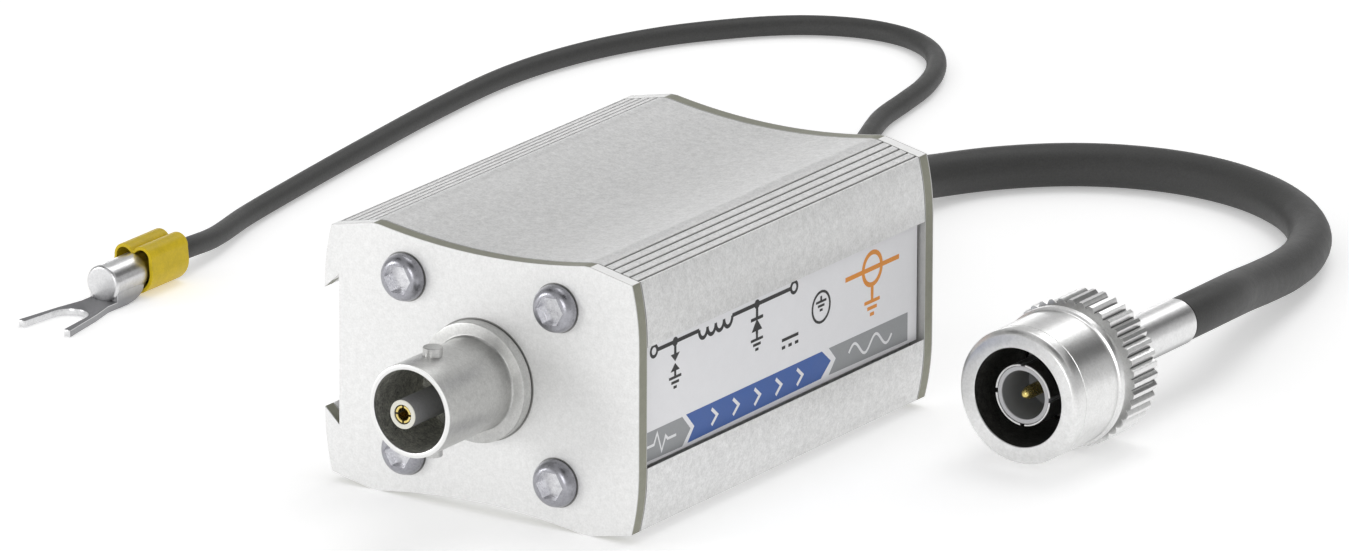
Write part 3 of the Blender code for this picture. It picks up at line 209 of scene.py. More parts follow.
class ArrestorStage(bpy.types.PropertyGroup):
    """Light and floor."""

    world_strength: FloatProperty(name="Sky", description="Strength of the even light", default=0.555, min=0.0)
    key_power: FloatProperty(name="Key", description="Power of the main soft light", default=0.7, unit="POWER")
    floor_colour: FloatVectorProperty(
        name="Floor", description="Colour of the pale floor", default=(0.92, 0.92, 0.92), subtype="COLOR"
    )


# Modelling tools
def rest():
    """Leave edit mode and select nothing."""
    if bpy.context.object and bpy.context.object.mode != "OBJECT":
        bpy.ops.object.mode_set(mode="OBJECT")
    bpy.ops.object.select_all(action="DESELECT")


def pick(piece):
    """Make a piece the only one selected and the active one."""
    rest()
    piece.select_set(True)
    bpy.context.view_layer.objects.active = piece
    return piece


def edit(piece, kind="VERT", select="SELECT"):
    """Enter edit mode in one kind of selection."""
    pick(piece)
    bpy.ops.object.mode_set(mode="EDIT")
    bpy.ops.mesh.select_mode(type=kind)
    bpy.ops.mesh.select_all(action=select)


def named(name):
    """Name the piece that was just added and put its place into its mesh."""
    piece = bpy.context.object
    piece.name = name
    piece.data.name = name
    bpy.ops.object.transform_apply(location=True, rotation=True, scale=True)
    return piece


def settle(piece, place):
    """Move a piece to a place and put that into its mesh."""
    piece.matrix_world = place
    pick(piece)
    bpy.ops.object.transform_apply(location=True, rotation=True, scale=True)
    return piece


def push(*move):
    """Extrude what is selected in edit mode."""
    bpy.ops.mesh.extrude_region_move(TRANSFORM_OT_translate={"value": move})


def circle(name, place, radius, sides, turn=(0, 0, 0), fill="NOTHING"):
    """Add a ring of edges, or a disc, and leave it in edit mode."""
    rest()
    bpy.ops.mesh.primitive_circle_add(vertices=sides, radius=radius, fill_type=fill, location=place, rotation=turn)
    piece = named(name)
    edit(piece)
    return piece


def face_outward(piece):
    """Turn every face of the piece in edit mode outward, and leave edit mode."""
    bpy.ops.mesh.select_all(action="SELECT")
    bpy.ops.mesh.normals_make_consistent(inside=False)
    bpy.ops.object.mode_set(mode="OBJECT")
    return piece


def close_up(piece):
    """Merge doubles, fill open rings and turn every face outward."""
    edit(piece)
    bpy.ops.mesh.remove_doubles(threshold=DOUBLES)
    bpy.ops.mesh.fill_holes(sides=0)
    return face_outward(piece)


def choose(piece, test):
    """Select the vertices whose place passes a test, and enter edit mode."""
    edit(piece, "VERT", "DESELECT")
    bpy.ops.object.mode_set(mode="OBJECT")
    for vertex in piece.data.vertices:
        vertex.select = test(vertex.co)
    if not any(vertex.select for vertex in piece.data.vertices):
        raise RuntimeError(f"no vertices to shape were found on {piece.name}")
    bpy.ops.object.mode_set(mode="EDIT")


def lathe(name, profile, axis=(0.0, AXIS_Z), steps=96):
    """Turn a round piece about a line along Y: one ring of edges, extruded and resized station by station.

    The profile holds (radius, y) stations in millimetres, y measured from `axis[2]` where that is given. A profile
    that ends where it began is a tube or ring; any other is closed by flat ends.
    """
    x, z = axis[0], axis[1]
    zero = axis[2] if len(axis) > 2 else 0.0
    stations = [(radius * MM, zero + along * MM) for radius, along in profile]
    radius, y = stations[0]
    piece = circle(name, (x, y, z), radius, steps, (math.pi / 2, 0, 0))
    for next_radius, next_y in stations[1:]:
        push(0, next_y - y, 0)
        if abs(next_radius - radius) > 1e-9:
            ratio = next_radius / radius
            bpy.ops.transform.resize(value=(ratio, 1, ratio), center_override=(x, next_y, z))
        radius, y = next_radius, next_y
    bpy.ops.object.mode_set(mode="OBJECT")
    return close_up(piece)


def trace(name, outline, start_y, end_y):
    """Trace a closed outline in the XZ plane vertex by vertex, fill it and extrude it along Y."""
    first = Vector((outline[0][0], start_y, outline[0][1]))
    rest()
    bpy.ops.mesh.primitive_plane_add(size=0.001, location=first)
    piece = named(name)
    edit(piece)
    bpy.ops.mesh.merge(type="CENTER")
    here = first
    for x, z in outline[1:]:
        there = Vector((x, start_y, z))
        push(*(there - here))
        here = there
    bpy.ops.mesh.select_all(action="SELECT")
    bpy.ops.mesh.edge_face_add()
    bpy.ops.mesh.select_all(action="SELECT")
    push(0, end_y - start_y, 0)
    return face_outward(piece)


def sheet(name, outline, start_x, end_x):
    """Trace an outline given as (y, z) and raise it along +X."""
    across = Matrix(((0, 1, 0, 0), (1, 0, 0, 0), (0, 0, 1, 0), (0, 0, 0, 1)))
    return close_up(settle(trace(name, outline, start_x, end_x), across))


def apply_modifier(piece, kind, **settings):
    """Add a modifier with its settings and apply it."""
    pick(piece)
    step = piece.modifiers.new(kind.lower(), kind)
    for name, value in settings.items():
        setattr(step, name, value)
    bpy.ops.object.modifier_apply(modifier=step.name)
    return piece


def split_faces(piece):
    """Split every face of more than four corners, so that a cut can't bridge its notches."""
    edit(piece, "FACE", "DESELECT")
    bpy.ops.mesh.select_face_by_sides(number=4, type="GREATER", extend=False)
    bpy.ops.mesh.quads_convert_to_tris(quad_method="BEAUTY", ngon_method="CLIP")
    bpy.ops.object.mode_set(mode="OBJECT")
    return piece


def cut(piece, cutter, operation="DIFFERENCE"):
    """Cut or join a piece with another one, which is used up."""
    split_faces(piece)
    split_faces(cutter)
    apply_modifier(piece, "BOOLEAN", operation=operation, object=cutter, solver="EXACT")
    bpy.data.objects.remove(cutter, do_unlink=True)
    return piece


def soften(piece, width, segments=2, angle=35):
    """Break the sharp edges."""
    return apply_modifier(
        piece, "BEVEL", width=width, segments=segments, limit_method="ANGLE", angle_limit=math.radians(angle),
        harden_normals=False, use_clamp_overlap=True, miter_outer="MITER_ARC",
    )


def copy_of(piece, name, turn=None, move=(0, 0, 0)):
    """A copy with its own mesh, turned and moved, with its place in its mesh."""
    pick(piece)
    bpy.ops.object.duplicate(linked=False)
    copy = bpy.context.object
    copy.matrix_world = Matrix.Translation(move) @ (turn or Matrix.Identity(4))
    return named(name)


def join(pieces, name):
    """Join pieces into the first one."""
    pick(pieces[0])
    for piece in pieces[1:]:
        piece.select_set(True)
    bpy.ops.object.join()
    pieces[0].name = name
    pieces[0].data.name = name
    return pieces[0]


def finish(piece, finish_of, nodes=(), angle=28, body="arrestor"):
    """Shade, colour and hang a piece on its body."""
    pick(piece)
    if piece.type == "MESH":
        bpy.ops.object.shade_smooth_by_angle(angle=math.radians(angle))
        apply_modifier(piece, "WEIGHTED_NORMAL", keep_sharp=True, weight=60)
    piece.data.materials.clear()
    piece.data.materials.append(finish_of)
    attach(piece, body)
    if nodes:
        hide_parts(*nodes)
    rest()
    return piece


def hexagon(name, flats, x, z, start_y, end_y):
    """A hexagonal bar with level flats."""
    piece = circle(name, (x, start_y, z), flats / math.sqrt(3), 6, (math.pi / 2, math.pi / 6, 0), "NGON")
    push(0, end_y - start_y, 0)
    return face_outward(piece)


def block(name, low, high):
    """A cutter between two corners, from a plane that is extruded."""
    outline = [(low[0], low[2]), (high[0], low[2]), (high[0], high[2]), (low[0], high[2])]
    return trace(name, outline, low[1], high[1])


def crossed_slots(piece, x, z, width, reach, start_y, end_y):
    """Cut an upright and a level slot across the end of a round piece."""
    for across, up in ((width / 2, reach), (reach, width / 2)):
        cut(piece, block("slot", (x - across, start_y, z - up), (x + across, end_y, z + up)))


def direction(azimuth, elevation):
    """The direction at so many degrees from +Y towards +X and upwards."""
    a, e = math.radians(azimuth), math.radians(elevation)
    return Vector((math.sin(a) * math.cos(e), math.cos(a) * math.cos(e), math.sin(e)))


# Case section
def arc_points(start, end, bulge, count):
    """Points on a circle arc; bulge is the height of its middle over the chord, to the left."""
    start, end = Vector(start), Vector(end)
    chord = end - start
    half = chord.length / 2
    radius = (half * half + bulge * bulge) / (2 * abs(bulge))
    left = Vector((-chord.y, chord.x)).normalized() * math.copysign(1, bulge)
    centre = (start + end) / 2 + left * (abs(bulge) - radius)
    spread = math.asin(min(1.0, half / radius))
    along = chord.normalized()
    points = []
    for step in range(count + 1):
        angle = spread * (2 * step / count - 1)
        point = centre + along * (radius * math.sin(angle)) + left * (radius * math.cos(angle))
        points.append((point.x, point.y))
    return points


def quarter(grooved, slotted, sizes):
    """The upper right quarter of the section, from the middle of the side to the middle of the top."""
    side = [(SIDE_X - SLOT_DEPTH, SLOT_FLOOR_Z), (SIDE_X, SLOT_LIP_Z)] if slotted else []
    drop, rise = SIDE_X - CORNER_X, CORNER_Z - SIDE_FLAT_Z
    radius = (drop * drop + rise * rise) / (2 * drop)
    sweep = math.asin(rise / radius)
    for step in range(17):
        angle = sweep * step / 16
        side.append((SIDE_X - radius + radius * math.cos(angle), SIDE_FLAT_Z + radius * math.sin(angle)))
    start, end = SHOULDER
    shoulder = []
    if grooved:
        along = (end - start).normalized()
        inward = Vector((-along.y, along.x))
        pitch = (end - start).length / GROOVES
        half = sizes.groove_width / 2
        for groove in range(GROOVES):
            middle = start + along * pitch * (groove + FIRST_GROOVE)
            floor = middle + inward * sizes.groove_depth
            shoulder += [middle - along * half, floor - along * half * 0.2, floor + along * half * 0.2]
            shoulder.append(middle + along * half)
    shoulder.append(end)
    inner = (RIDGE_X - RIDGE_FLAT / 2, RIDGE_Z)
    crown = arc_points(inner, (-inner[0], RIDGE_Z), RIDGE_Z - CROWN_Z, 64)[:33]
    return side + [tuple(point) for point in shoulder] + crown


def section(grooved, left_slot, right_slot, sizes):
    """The whole outline, anticlockwise, about the case axis."""
    right = quarter(grooved, right_slot, sizes)
    left = quarter(grooved, left_slot, sizes)
    outline = right + [(-x, z) for x, z in reversed(left[:-1])]
    outline += [(-x, -z) for x, z in left] + [(x, -z) for x, z in reversed(right[:-1])]
    return [(x, z + AXIS_Z) for x, z in outline]


def arc(x, z, radius, start, end, count):
    """Points round a centre from one angle in degrees to another."""
    angles = [math.radians(start + (end - start) * step / count) for step in range(count + 1)]
    return [(x + radius * math.cos(angle), z + radius * math.sin(angle)) for angle in angles]


def screw_port(top):
    """The upper right screw port seen from inside the hollow: round the port, through its slit and round its bore."""
    port_r, bore_r, half_slit = 0.0028, 0.0017, 0.0004
    wall = math.degrees(math.asin((top - SCREW_Z) / port_r))
    outer = math.degrees(math.asin(half_slit / port_r))
    inner = math.degrees(math.asin(half_slit / bore_r))
    centre = (SCREW_X, SCREW_Z)
    return (
        arc(*centre, port_r, wall, -90 + outer, 20)
        + arc(*centre, bore_r, -90 + inner, 270 - inner, 40)
        + arc(*centre, port_r, 270 - outer, 180 - wall, 20)
    )


def cavity():
    """The hollow of the case with its ribs for the board and its screw ports."""
    inner_x, pocket_x, top, pocket_z = 0.01574, 0.01646, 0.01148, 0.00945
    low, high, gap, rib = -0.0025, -0.0009, 0.0003, 0.0010
    right = [
        (pocket_x, -top), (pocket_x, -pocket_z), (inner_x, -pocket_z), (inner_x, low - gap - rib),
        (inner_x - rib, low - gap - rib), (inner_x - rib, low - gap), (inner_x, low - gap), (inner_x, high + gap),
        (inner_x - rib, high + gap), (inner_x - rib, high + gap + rib), (inner_x, high + gap + rib),
        (inner_x, pocket_z), (pocket_x, pocket_z), (pocket_x, top),
    ]
    port = screw_port(top)
    right = [(x, -z) for x, z in reversed(port)] + right + port
    return [(x, z + AXIS_Z) for x, z in right + [(-x, z) for x, z in reversed(right)]]


def screw_places():
    """The four screws of a plate as (name, x, z)."""
    levels, sides = (("upper", SCREW_Z), ("lower", -SCREW_Z)), (("left", -SCREW_X), ("right", SCREW_X))
    return [(level + "_" + side, x, AXIS_Z + z) for level, z in levels for side, x in sides]


# Finishes
def feed(tree, socket, value):
    """Link a node's socket to a wire, or set its value."""
    if isinstance(value, Wire):
        tree.links.new(value.socket, socket)
    else:
        socket.default_value = value


class Wire:
    """A socket that takes part in ordinary sums; each operator adds its Math node."""

    def __init__(self, tree, socket):
        self.tree = tree
        self.socket = socket

    def math(self, operation, first, second=0.0, clamp=False):
        node = self.tree.nodes.new("ShaderNodeMath")
        node.operation = operation
        node.use_clamp = clamp
        feed(self.tree, node.inputs[0], first)
        feed(self.tree, node.inputs[1], second)
        return Wire(self.tree, node.outputs[0])

    def __add__(self, other):
        return self.math("ADD", self, other)

    def __radd__(self, other):
        return self.math("ADD", other, self)

    def __sub__(self, other):
        return self.math("SUBTRACT", self, other)

    def __rsub__(self, other):
        return self.math("SUBTRACT", other, self)

    def __mul__(self, other):
        return self.math("MULTIPLY", self, other)

    def __rmul__(self, other):
        return self.math("MULTIPLY", other, self)

    def __truediv__(self, other):
        return self.math("DIVIDE", self, other)

    def __pow__(self, other):
        return self.math("POWER", self, other)

    def step(self, level, soft):
        """0 below a level and 1 above it, with a short soft step."""
        return self.math("ADD", (self - level) / soft, 0.5, True)

    def between(self, low, high, soft, soft_high=None):
        """1 between two levels and 0 outside them."""
        return self.step(low, soft) * (1 - self.step(high, soft_high or soft))

    def magnitude(self):
        return self.math("ABSOLUTE", self)

    def larger(self, other):
        return self.math("MAXIMUM", self, other)

    def smaller(self, other):
        return self.math("MINIMUM", self, other)


class Finish:
    """A Principled material that is written as sums."""

    def __init__(self, name, colour=(0.8, 0.8, 0.8), roughness=0.5, metallic=0.0, **constants):
        self.material = bpy.data.materials.new(name)
        self.material.use_nodes = True
        self.tree = self.material.node_tree
        self.shader = self.tree.nodes["Principled BSDF"]
        self.set("Base Color", (*colour, 1.0))
        self.set("Roughness", roughness)
        self.set("Metallic", metallic)
        for socket, value in constants.items():
            self.set(socket.replace("_", " "), value)
        self.material.diffuse_color = (*colour, 1.0)
        self.coordinates = self.node("TexCoord", output="Object")

    def set(self, socket, value):
        """Link or set one of the shader's sockets."""
        feed(self.tree, self.shader.inputs[socket], value)

    def node(self, kind, output=0, settings=None, **inputs):
        """Add a node: its settings first, then the values or links of its sockets, by name or as i and a number."""
        node = self.tree.nodes.new("ShaderNode" + kind)
        for name, value in (settings or {}).items():
            setattr(node, name, value)
        for name, value in inputs.items():
            numbered = name[0] == "i" and name[1:].isdigit()
            feed(self.tree, node.inputs[int(name[1:]) if numbered else name.replace("_", " ")], value)
        return Wire(self.tree, node.outputs[output])

    def axis(self, letter):
        """One object coordinate in metres."""
        if not hasattr(self, "split"):
            self.split = self.node("SeparateXYZ", Vector=self.coordinates)
        return Wire(self.tree, self.split.socket.node.outputs["XYZ".index(letter)])

    def radius(self, x, z):
        """Distance from a line along Y."""
        across, up = self.axis("X") - x, self.axis("Z") - z
        return (across * across + up * up) ** 0.5

    def place(self, scale=(1, 1, 1)):
        """Object coordinates, stretched."""
        return self.node("Mapping", Vector=self.coordinates, Scale=scale)

    def noise(self, scale, detail=2.0, roughness=0.5, stretch=(1, 1, 1)):
        """Noise with `scale` patches to the metre."""
        return self.node("TexNoise", Vector=self.place(stretch), Scale=scale, Detail=detail, Roughness=roughness)

    def mix(self, share, first, second):
        """Mix two colours."""
        first = first if isinstance(first, Wire) or len(first) == 4 else (*first, 1.0)
        second = second if isinstance(second, Wire) or len(second) == 4 else (*second, 1.0)
        return self.node(
            "Mix", output=2, settings={"data_type": "RGBA", "clamp_factor": True}, i0=share, i6=first, i7=second
        )

    def bump(self, height, strength, distance=GRAIN_DEPTH):
        """A normal that is tilted by a height."""
        return self.node("Bump", Height=height, Strength=strength, Distance=distance)


def scaled(colour, factor):
    """A colour made lighter or darker."""
    return tuple(min(1.0, channel * factor) for channel in colour)


def blasted(name, colour, roughness, grain=1.0, metallic=1.0, speckle=0.10, bump=0.35, streak=0.0):
    """Bead-blasted metal: fine speckle in colour, gloss and height, with soft clouds over it."""
    made = Finish(name, colour, roughness, metallic)
    fine = made.noise(4600, 3.0, 0.65)
    coarse = made.noise(1500, 2.0, 0.5)
    clouds = made.noise(90, 2.0, 0.5)
    tone = (fine - 0.5) * (speckle * 5.0 * grain) + (coarse - 0.5) * (speckle * 3.0 * grain) + (clouds - 0.5) * 0.12
    if streak:
        lines = made.noise(900, 2.0, 0.6, (1, 0.012, 1))
        tone = tone + (lines - 0.5) * streak
    shade = made.mix(tone + 0.5, scaled(colour, 0.62), scaled(colour, 1.38))
    made.base = shade
    made.set("Base Color", shade)
    made.set("Roughness", (fine - 0.5) * 0.18 + roughness)
    made.set("Normal", made.bump(fine * 0.6 + coarse * 0.4, bump * grain))
    made.tone = tone
    return made


def case_finish(finishes):
    """Case body: extruded grain along its length, and shadow in the shoulder grooves."""
    made = blasted(
        "case_blasted_aluminium", finishes.case_colour, 0.46, finishes.grain, speckle=0.16, bump=0.5, streak=0.10
    )
    across, up = made.axis("X").magnitude(), (made.axis("Z") - AXIS_Z).magnitude()
    start, end = SHOULDER
    along = (end - start).normalized()
    depth = (across - CORNER_X) * -along.y + (up - CORNER_Z) * along.x
    from_x, to_x, from_z, shallow = 0.0130, 0.01807, 0.0126, 0.00008
    near = across.between(from_x, to_x, 0.0001, 0.00002) * up.step(from_z, 0.0001)
    # Painted shade: the floors of the shoulder grooves are coloured dark and not metallic.
    groove = depth.step(shallow, 0.00005) * near
    made.set("Base Color", made.mix(groove, made.base, (0.26, 0.26, 0.25)))
    made.set("Metallic", 1 - groove)
    return made.material


def plate_finish(name, finishes, face_y, inward):
    """End plate: grainy face, a painted contact shadow round each seat, painted shade on its broken edges, and a sawn
    rim with a painted highlight on the upper shoulders.
    """
    made = blasted(name, finishes.plate_colour, 0.50, finishes.grain, metallic=0.85)
    behind = (made.axis("Y") - face_y) * inward
    rim_start, rim_end = 0.00014, 0.00142
    rim = behind.between(rim_start, rim_end, 0.00003)
    up = made.axis("Z") - AXIS_Z
    across = made.axis("X").magnitude()
    # Painted highlight: the rim's upper shoulders are coloured near white.
    shoulder_highlight = across.between(RIDGE_X + 0.0003, CORNER_X - 0.00005, 0.0001) * up.step(0.0, 0.001)
    rim_shade = made.mix(made.tone + 0.5, scaled(finishes.rim_colour, 0.7), scaled(finishes.rim_colour, 1.3))
    light = made.mix(made.tone + 0.5, (0.84, 0.84, 0.83), (1.0, 1.0, 1.0))
    # Painted contact shadow: a thin ring just outside each screw head, and on the front plate outside the jack's
    # flange, is coloured near black.
    screw_seat_r, flange_seat_r = 0.00260, 0.00640
    seats = [made.radius(x, z) - screw_seat_r for _, x, z in screw_places()]
    if inward > 0:
        seats.append(made.radius(0, AXIS_Z) - flange_seat_r)
    nearest = seats[0]
    for seat in seats[1:]:
        nearest = nearest.smaller(seat)
    seat_contact_shadow = 1 - nearest.step(0.0, 0.00005)
    # Painted shade: the broken edges are coloured darker.
    edge_shade = behind.step(0.000015, 0.00001) * (1 - rim) * 0.45
    face = made.mix(seat_contact_shadow * 0.75, made.mix(edge_shade, made.base, (0.30, 0.30, 0.28)), (0.16, 0.16, 0.15))
    made.set("Base Color", made.mix(rim, face, made.mix(shoulder_highlight, rim_shade, light)))
    return made.material


def nickel_finish(name, finishes, roughness, centre, hollow_r=0.0, hollow_y=0.0, dark=0.03, tone=1.0):
    """Plated metal, with painted shade inside its hollow where it has one."""
    made = blasted(name, scaled(finishes.nickel_colour, tone), roughness, finishes.grain, speckle=0.13, bump=0.35)
    # Painted shade: inside the hollow the colour goes near black and the surface duller.
    inside = (1 - made.radius(*centre).step(hollow_r, 0.00004)) * made.axis("Y").step(hollow_y, 0.00004)
    deep_shade, dim = (dark * 0.4, dark * 0.4, dark * 0.38), (dark * 2.2, dark * 2.2, dark * 2.0)
    shade = made.mix(made.tone * 2.0 + 0.5, deep_shade, dim)
    made.base = made.mix(inside, made.base, shade)
    made.set("Base Color", made.base)
    made.set("Roughness", inside * 0.35 + roughness)
    return made


def screw_finish():
    """Satin steel of the screws, with a painted highlight on the walls of their sockets."""
    made = blasted("screw_satin_steel", (0.36, 0.36, 0.39), 0.30, 1.0, speckle=0.16, bump=0.3)
    nearest = None
    for _, x, z in screw_places():
        from_axis = made.radius(x, z)
        nearest = from_axis if nearest is None else nearest.smaller(from_axis)
    ends = (FRONT_Y - made.axis("Y")).larger(made.axis("Y") - REAR_Y)
    socket_r, top = 0.00163, 0.00135
    # Painted highlight: the walls of each socket are coloured lighter.
    socket = (1 - nearest.step(socket_r, 0.00002)) * ends.between(0.0, top, 0.0001, 0.00001)
    socket_highlight = made.mix(made.tone * 1.5 + 0.5, (0.48, 0.48, 0.51), (0.92, 0.92, 0.94))
    made.set("Base Color", made.mix(socket, made.base, socket_highlight))
    return made.material


def gold_finish():
    """Gold plate."""
    return blasted("contact_gold_plate", (0.88, 0.62, 0.22), 0.28, 1.0, speckle=0.06, bump=0.15).material


def rubber_finish(name, colour, scale=5200):
    """Moulded or extruded sheath: fine pitting, faint clouds and a soft sheen."""
    made = Finish(name, colour, 0.55, 0.0, Specular_IOR_Level=0.45)
    fine = made.noise(scale, 3.0, 0.6)
    coarse = made.noise(scale / 5, 2.0, 0.5)
    shade = made.mix((fine - 0.5) * 0.9 + (coarse - 0.5) * 0.4 + 0.5, scaled(colour, 0.6), scaled(colour, 1.5))
    made.set("Base Color", shade)
    made.set("Roughness", (coarse - 0.5) * 0.2 + 0.55)
    made.set("Normal", made.bump(fine, 0.35))
    return made.material


def plastic_finish(name, colour, roughness=0.42, spread=0.16, bump=0.12, gloss=0.5):
    """Moulded plastic with faint mottling."""
    made = Finish(name, colour, roughness, 0.0, Specular_IOR_Level=gloss)
    fine = made.noise(4200, 2.0, 0.55)
    coarse = made.noise(650, 2.0, 0.5)
    mottle = (fine - 0.5) * 0.7 + (coarse - 0.5) * 0.7 + 0.5
    made.set("Base Color", made.mix(mottle, scaled(colour, 1 - spread), scaled(colour, 1 + spread)))
    made.set("Roughness", (coarse - 0.5) * 0.16 + roughness)
    made.set("Normal", made.bump(fine, bump, 0.00004))
    return made


def board_finish():
    """Circuit board: green mask with tracks showing through it."""
    made = Finish("board_green_mask", (0.03, 0.16, 0.08), 0.35, 0.0)
    weave = made.noise(3200, 1.0, 0.5)
    base = made.mix(weave, (0.02, 0.12, 0.06), (0.04, 0.20, 0.10))
    tracks = made.node(
        "TexWave", output="Fac", settings={"wave_type": "BANDS", "bands_direction": "X"},
        Vector=made.coordinates, Scale=95.0, Distortion=1.2, Detail=1.0, Detail_Scale=60.0,
    )
    line = tracks.step(0.86, 0.05)
    made.set("Base Color", made.mix(line, base, (0.07, 0.30, 0.15)))
    made.set("Normal", made.bump(line, 0.3, 0.00005))
    made.set("Roughness", (weave - 0.5) * 0.2 + 0.35)
    return made.material


# Leads
def smooth_path(route, spacing):
    """Evenly spaced points on a smooth curve through the route points."""
    points = [Vector(point) for point in route]
    points = [2 * points[0] - points[1]] + points + [2 * points[-1] - points[-2]]
    dense = []
    parts = 16
    for index in range(1, len(points) - 2):
        before, start, end, after = points[index - 1:index + 3]
        span = (end - start).length
        leave = (end - before) / ((end - start).length + (start - before).length) * span
        arrive = (after - start) / ((after - end).length + (end - start).length) * span
        for step in range(parts):
            t = step / parts
            dense.append(
                start * (2 * t**3 - 3 * t**2 + 1) + leave * (t**3 - 2 * t**2 + t)
                + end * (3 * t**2 - 2 * t**3) + arrive * (t**3 - t**2)
            )
    dense.append(points[-2])
    lengths = [0.0]
    for first, second in zip(dense, dense[1:]):
        lengths.append(lengths[-1] + (second - first).length)
    count = max(2, round(lengths[-1] / spacing))
    even = []
    index = 0
    for step in range(count + 1):
        target = lengths[-1] * step / count
        while index < len(lengths) - 2 and lengths[index + 1] < target:
            index += 1
        share = (target - lengths[index]) / (lengths[index + 1] - lengths[index])
        even.append(dense[index].lerp(dense[index + 1], share))
    return even, lengths[-1]


def lead(name, route, diameter, node, colour):
    """A lead as one smooth curve through its route points."""
    path, length = smooth_path(route, LEAD_SPACING)
    curve = bpy.data.curves.new(name, "CURVE")
    curve.dimensions = "3D"
    curve.bevel_depth = diameter / 2
    curve.bevel_resolution = LEAD_RESOLUTION
    curve.use_fill_caps = True
    curve.twist_mode = "MINIMUM"
    spline = curve.splines.new("POLY")
    spline.points.add(len(path) - 1)
    for point, place in zip(spline.points, path):
        point.co = (*place, 1.0)
    spline.use_smooth = True
    piece = bpy.data.objects.new(name, curve)
    bpy.context.scene.collection.objects.link(piece)
    finish(piece, rubber_finish(name + "_sheath", colour), [node])
    return piece, length


class ARRESTOR_OT_stage(bpy.types.Operator):
    """Pale floor, soft studio light and the camera"""

    bl_idname = "arrestor.stage"
    bl_label = "Stage"

    def execute(self, context):
        look = context.scene.arrestor_stage
        rest()
        bpy.ops.mesh.primitive_plane_add(size=6.0, location=(0, 0, 0))
        floor = named("floor")
        paper = Finish("floor_pale_paper", look.floor_colour, 0.9, 0.0, Specular_IOR_Level=0.1)
        fibre = paper.noise(400, 2.0, 0.5)
        paper.set("Base Color", paper.mix(fibre, scaled(look.floor_colour, 0.995), scaled(look.floor_colour, 1.005)))
        paper.set("Emission Color", (1.0, 1.0, 1.0, 1.0))
        paper.set("Emission Strength", 0.34)
        floor.data.materials.append(paper.material)
        world = bpy.data.worlds.new("studio")
        context.scene.world = world
        world.use_nodes = True
        sky = world.node_tree.nodes["Background"]
        sky.inputs["Color"].default_value = (1.0, 1.0, 1.0, 1.0)
        sky.inputs["Strength"].default_value = look.world_strength
        for name, place, size, power in (
            ("key_light", (-0.70, -0.68, 0.17), 0.30, 2.48),
            ("front_light", (0.26, -0.94, 0.22), 0.40, 2.48),
            ("top_light", (0.03, 0.30, 0.93), 0.60, 2.40),
            ("back_light", (-0.05, 0.78, 0.62), 0.34, 0.52),
        ):
            bpy.ops.object.light_add(type="AREA", location=place)
            lamp = bpy.context.object
            lamp.name = name
            lamp.data.shape = "DISK"
            lamp.data.size = size
            lamp.data.energy = look.key_power * power
            lamp.rotation_mode = "QUATERNION"
            lamp.rotation_quaternion = (Vector(place) - Vector(LAMP_AIM)).to_track_quat("Z", "Y")
            lamp.visible_camera = False
        for name, azimuth, elevation, width, height, glow in (
            ("dark_card", 31, 27, 0.66, 0.32, 0.0),
            ("high_dark_card", 129, 56, 0.60, 0.50, 0.0),
            ("horizon_card", -38, 4, 0.60, 0.13, 2.6),
            ("high_left_card", -118, 50, 0.50, 0.36, 0.0),
            ("bright_card", -5, 39, 0.30, 0.22, 1.3),
        ):
            self.card(name, azimuth, elevation, width, height, glow)
        back, roll = direction(CAMERA_AZIMUTH, CAMERA_ELEVATION), math.radians(CAMERA_ROLL)
        right = (-back).cross(Vector((0, 0, 1))).normalized()
        up = right.cross(-back)
        rolled_right = right * math.cos(roll) + up * math.sin(roll)
        rolled_up = -right * math.sin(roll) + up * math.cos(roll)
        place = Matrix((rolled_right, rolled_up, back)).transposed().to_4x4()
        place.translation = Vector(CAMERA_AIM) + back * CAMERA_DISTANCE
        bpy.ops.object.camera_add()
        camera = bpy.context.object
        camera.matrix_world = place
        camera.data.lens = CAMERA_LENS
        camera.data.sensor_width = 36.0
        camera.data.sensor_fit = "HORIZONTAL"
        camera.data.clip_start = 0.01
        camera.data.clip_end = 20.0
        context.scene.camera = camera
        context.scene.view_settings.view_transform = "Standard"
        rest()
        return {"FINISHED"}

    def card(self, name, azimuth, elevation, width, height, glow):
        """A studio card that only reflections see, one metre away."""
        toward = direction(azimuth, elevation)
        rest()
        bpy.ops.mesh.primitive_plane_add(size=1.0)
        made = bpy.context.object
        made.matrix_world = (
            Matrix.Translation(Vector(CARD_CENTRE) + toward)
            @ toward.to_track_quat("Z", "Y").to_matrix().to_4x4() @ Matrix.Diagonal((width, height, 1, 1))
        )
        named(name)
        look = Finish(name + "_cloth", (0.02, 0.02, 0.02), 0.9)
        weave = look.noise(300, 1.0, 0.5)
        look.set("Base Color", look.mix(weave, (0.018, 0.018, 0.018), (0.022, 0.022, 0.022)))
        look.set("Emission Color", (1.0, 1.0, 1.0, 1.0))
        look.set("Emission Strength", glow)
        made.data.materials.append(look.material)
        made.visible_camera = made.visible_diffuse = made.visible_shadow = made.visible_transmission = False


class ARRESTOR_OT_leads(bpy.types.Operator):
    """The coax lead and the earth lead"""

    bl_idname = "arrestor.leads"
    bl_label = "Leads"

    def execute(self, context):
        sizes, finishes = context.scene.arrestor_sizes, context.scene.arrestor_finishes
        coax, length = lead("coax_lead", COAX_ROUTE, sizes.coax_diameter, "coax_cable", finishes.cable_colour)
        earth, length = lead("earth_lead", EARTH_ROUTE, sizes.earth_diameter, "earth_wire", finishes.cable_colour)
        AXIS_Z + EARTH_RISE
        return {"FINISHED"}


class ARRESTOR_OT_case(bpy.types.Operator):
    """The extruded case body with its grooves, side slots, hollow and screw ports"""

    bl_idname = "arrestor.case"
    bl_label = "Case"

    def execute(self, context):
        sizes, finishes = context.scene.arrestor_sizes, context.scene.arrestor_finishes
        body = trace("case_body", section(True, True, True, sizes), BODY_Y, BODY_END_Y)
        past = 2 * MM
        cut(body, trace("hollow", cavity(), BODY_Y - past, BODY_END_Y + past))
        finish(body, case_finish(finishes), ["housing"], 22)
        return {"FINISHED"}


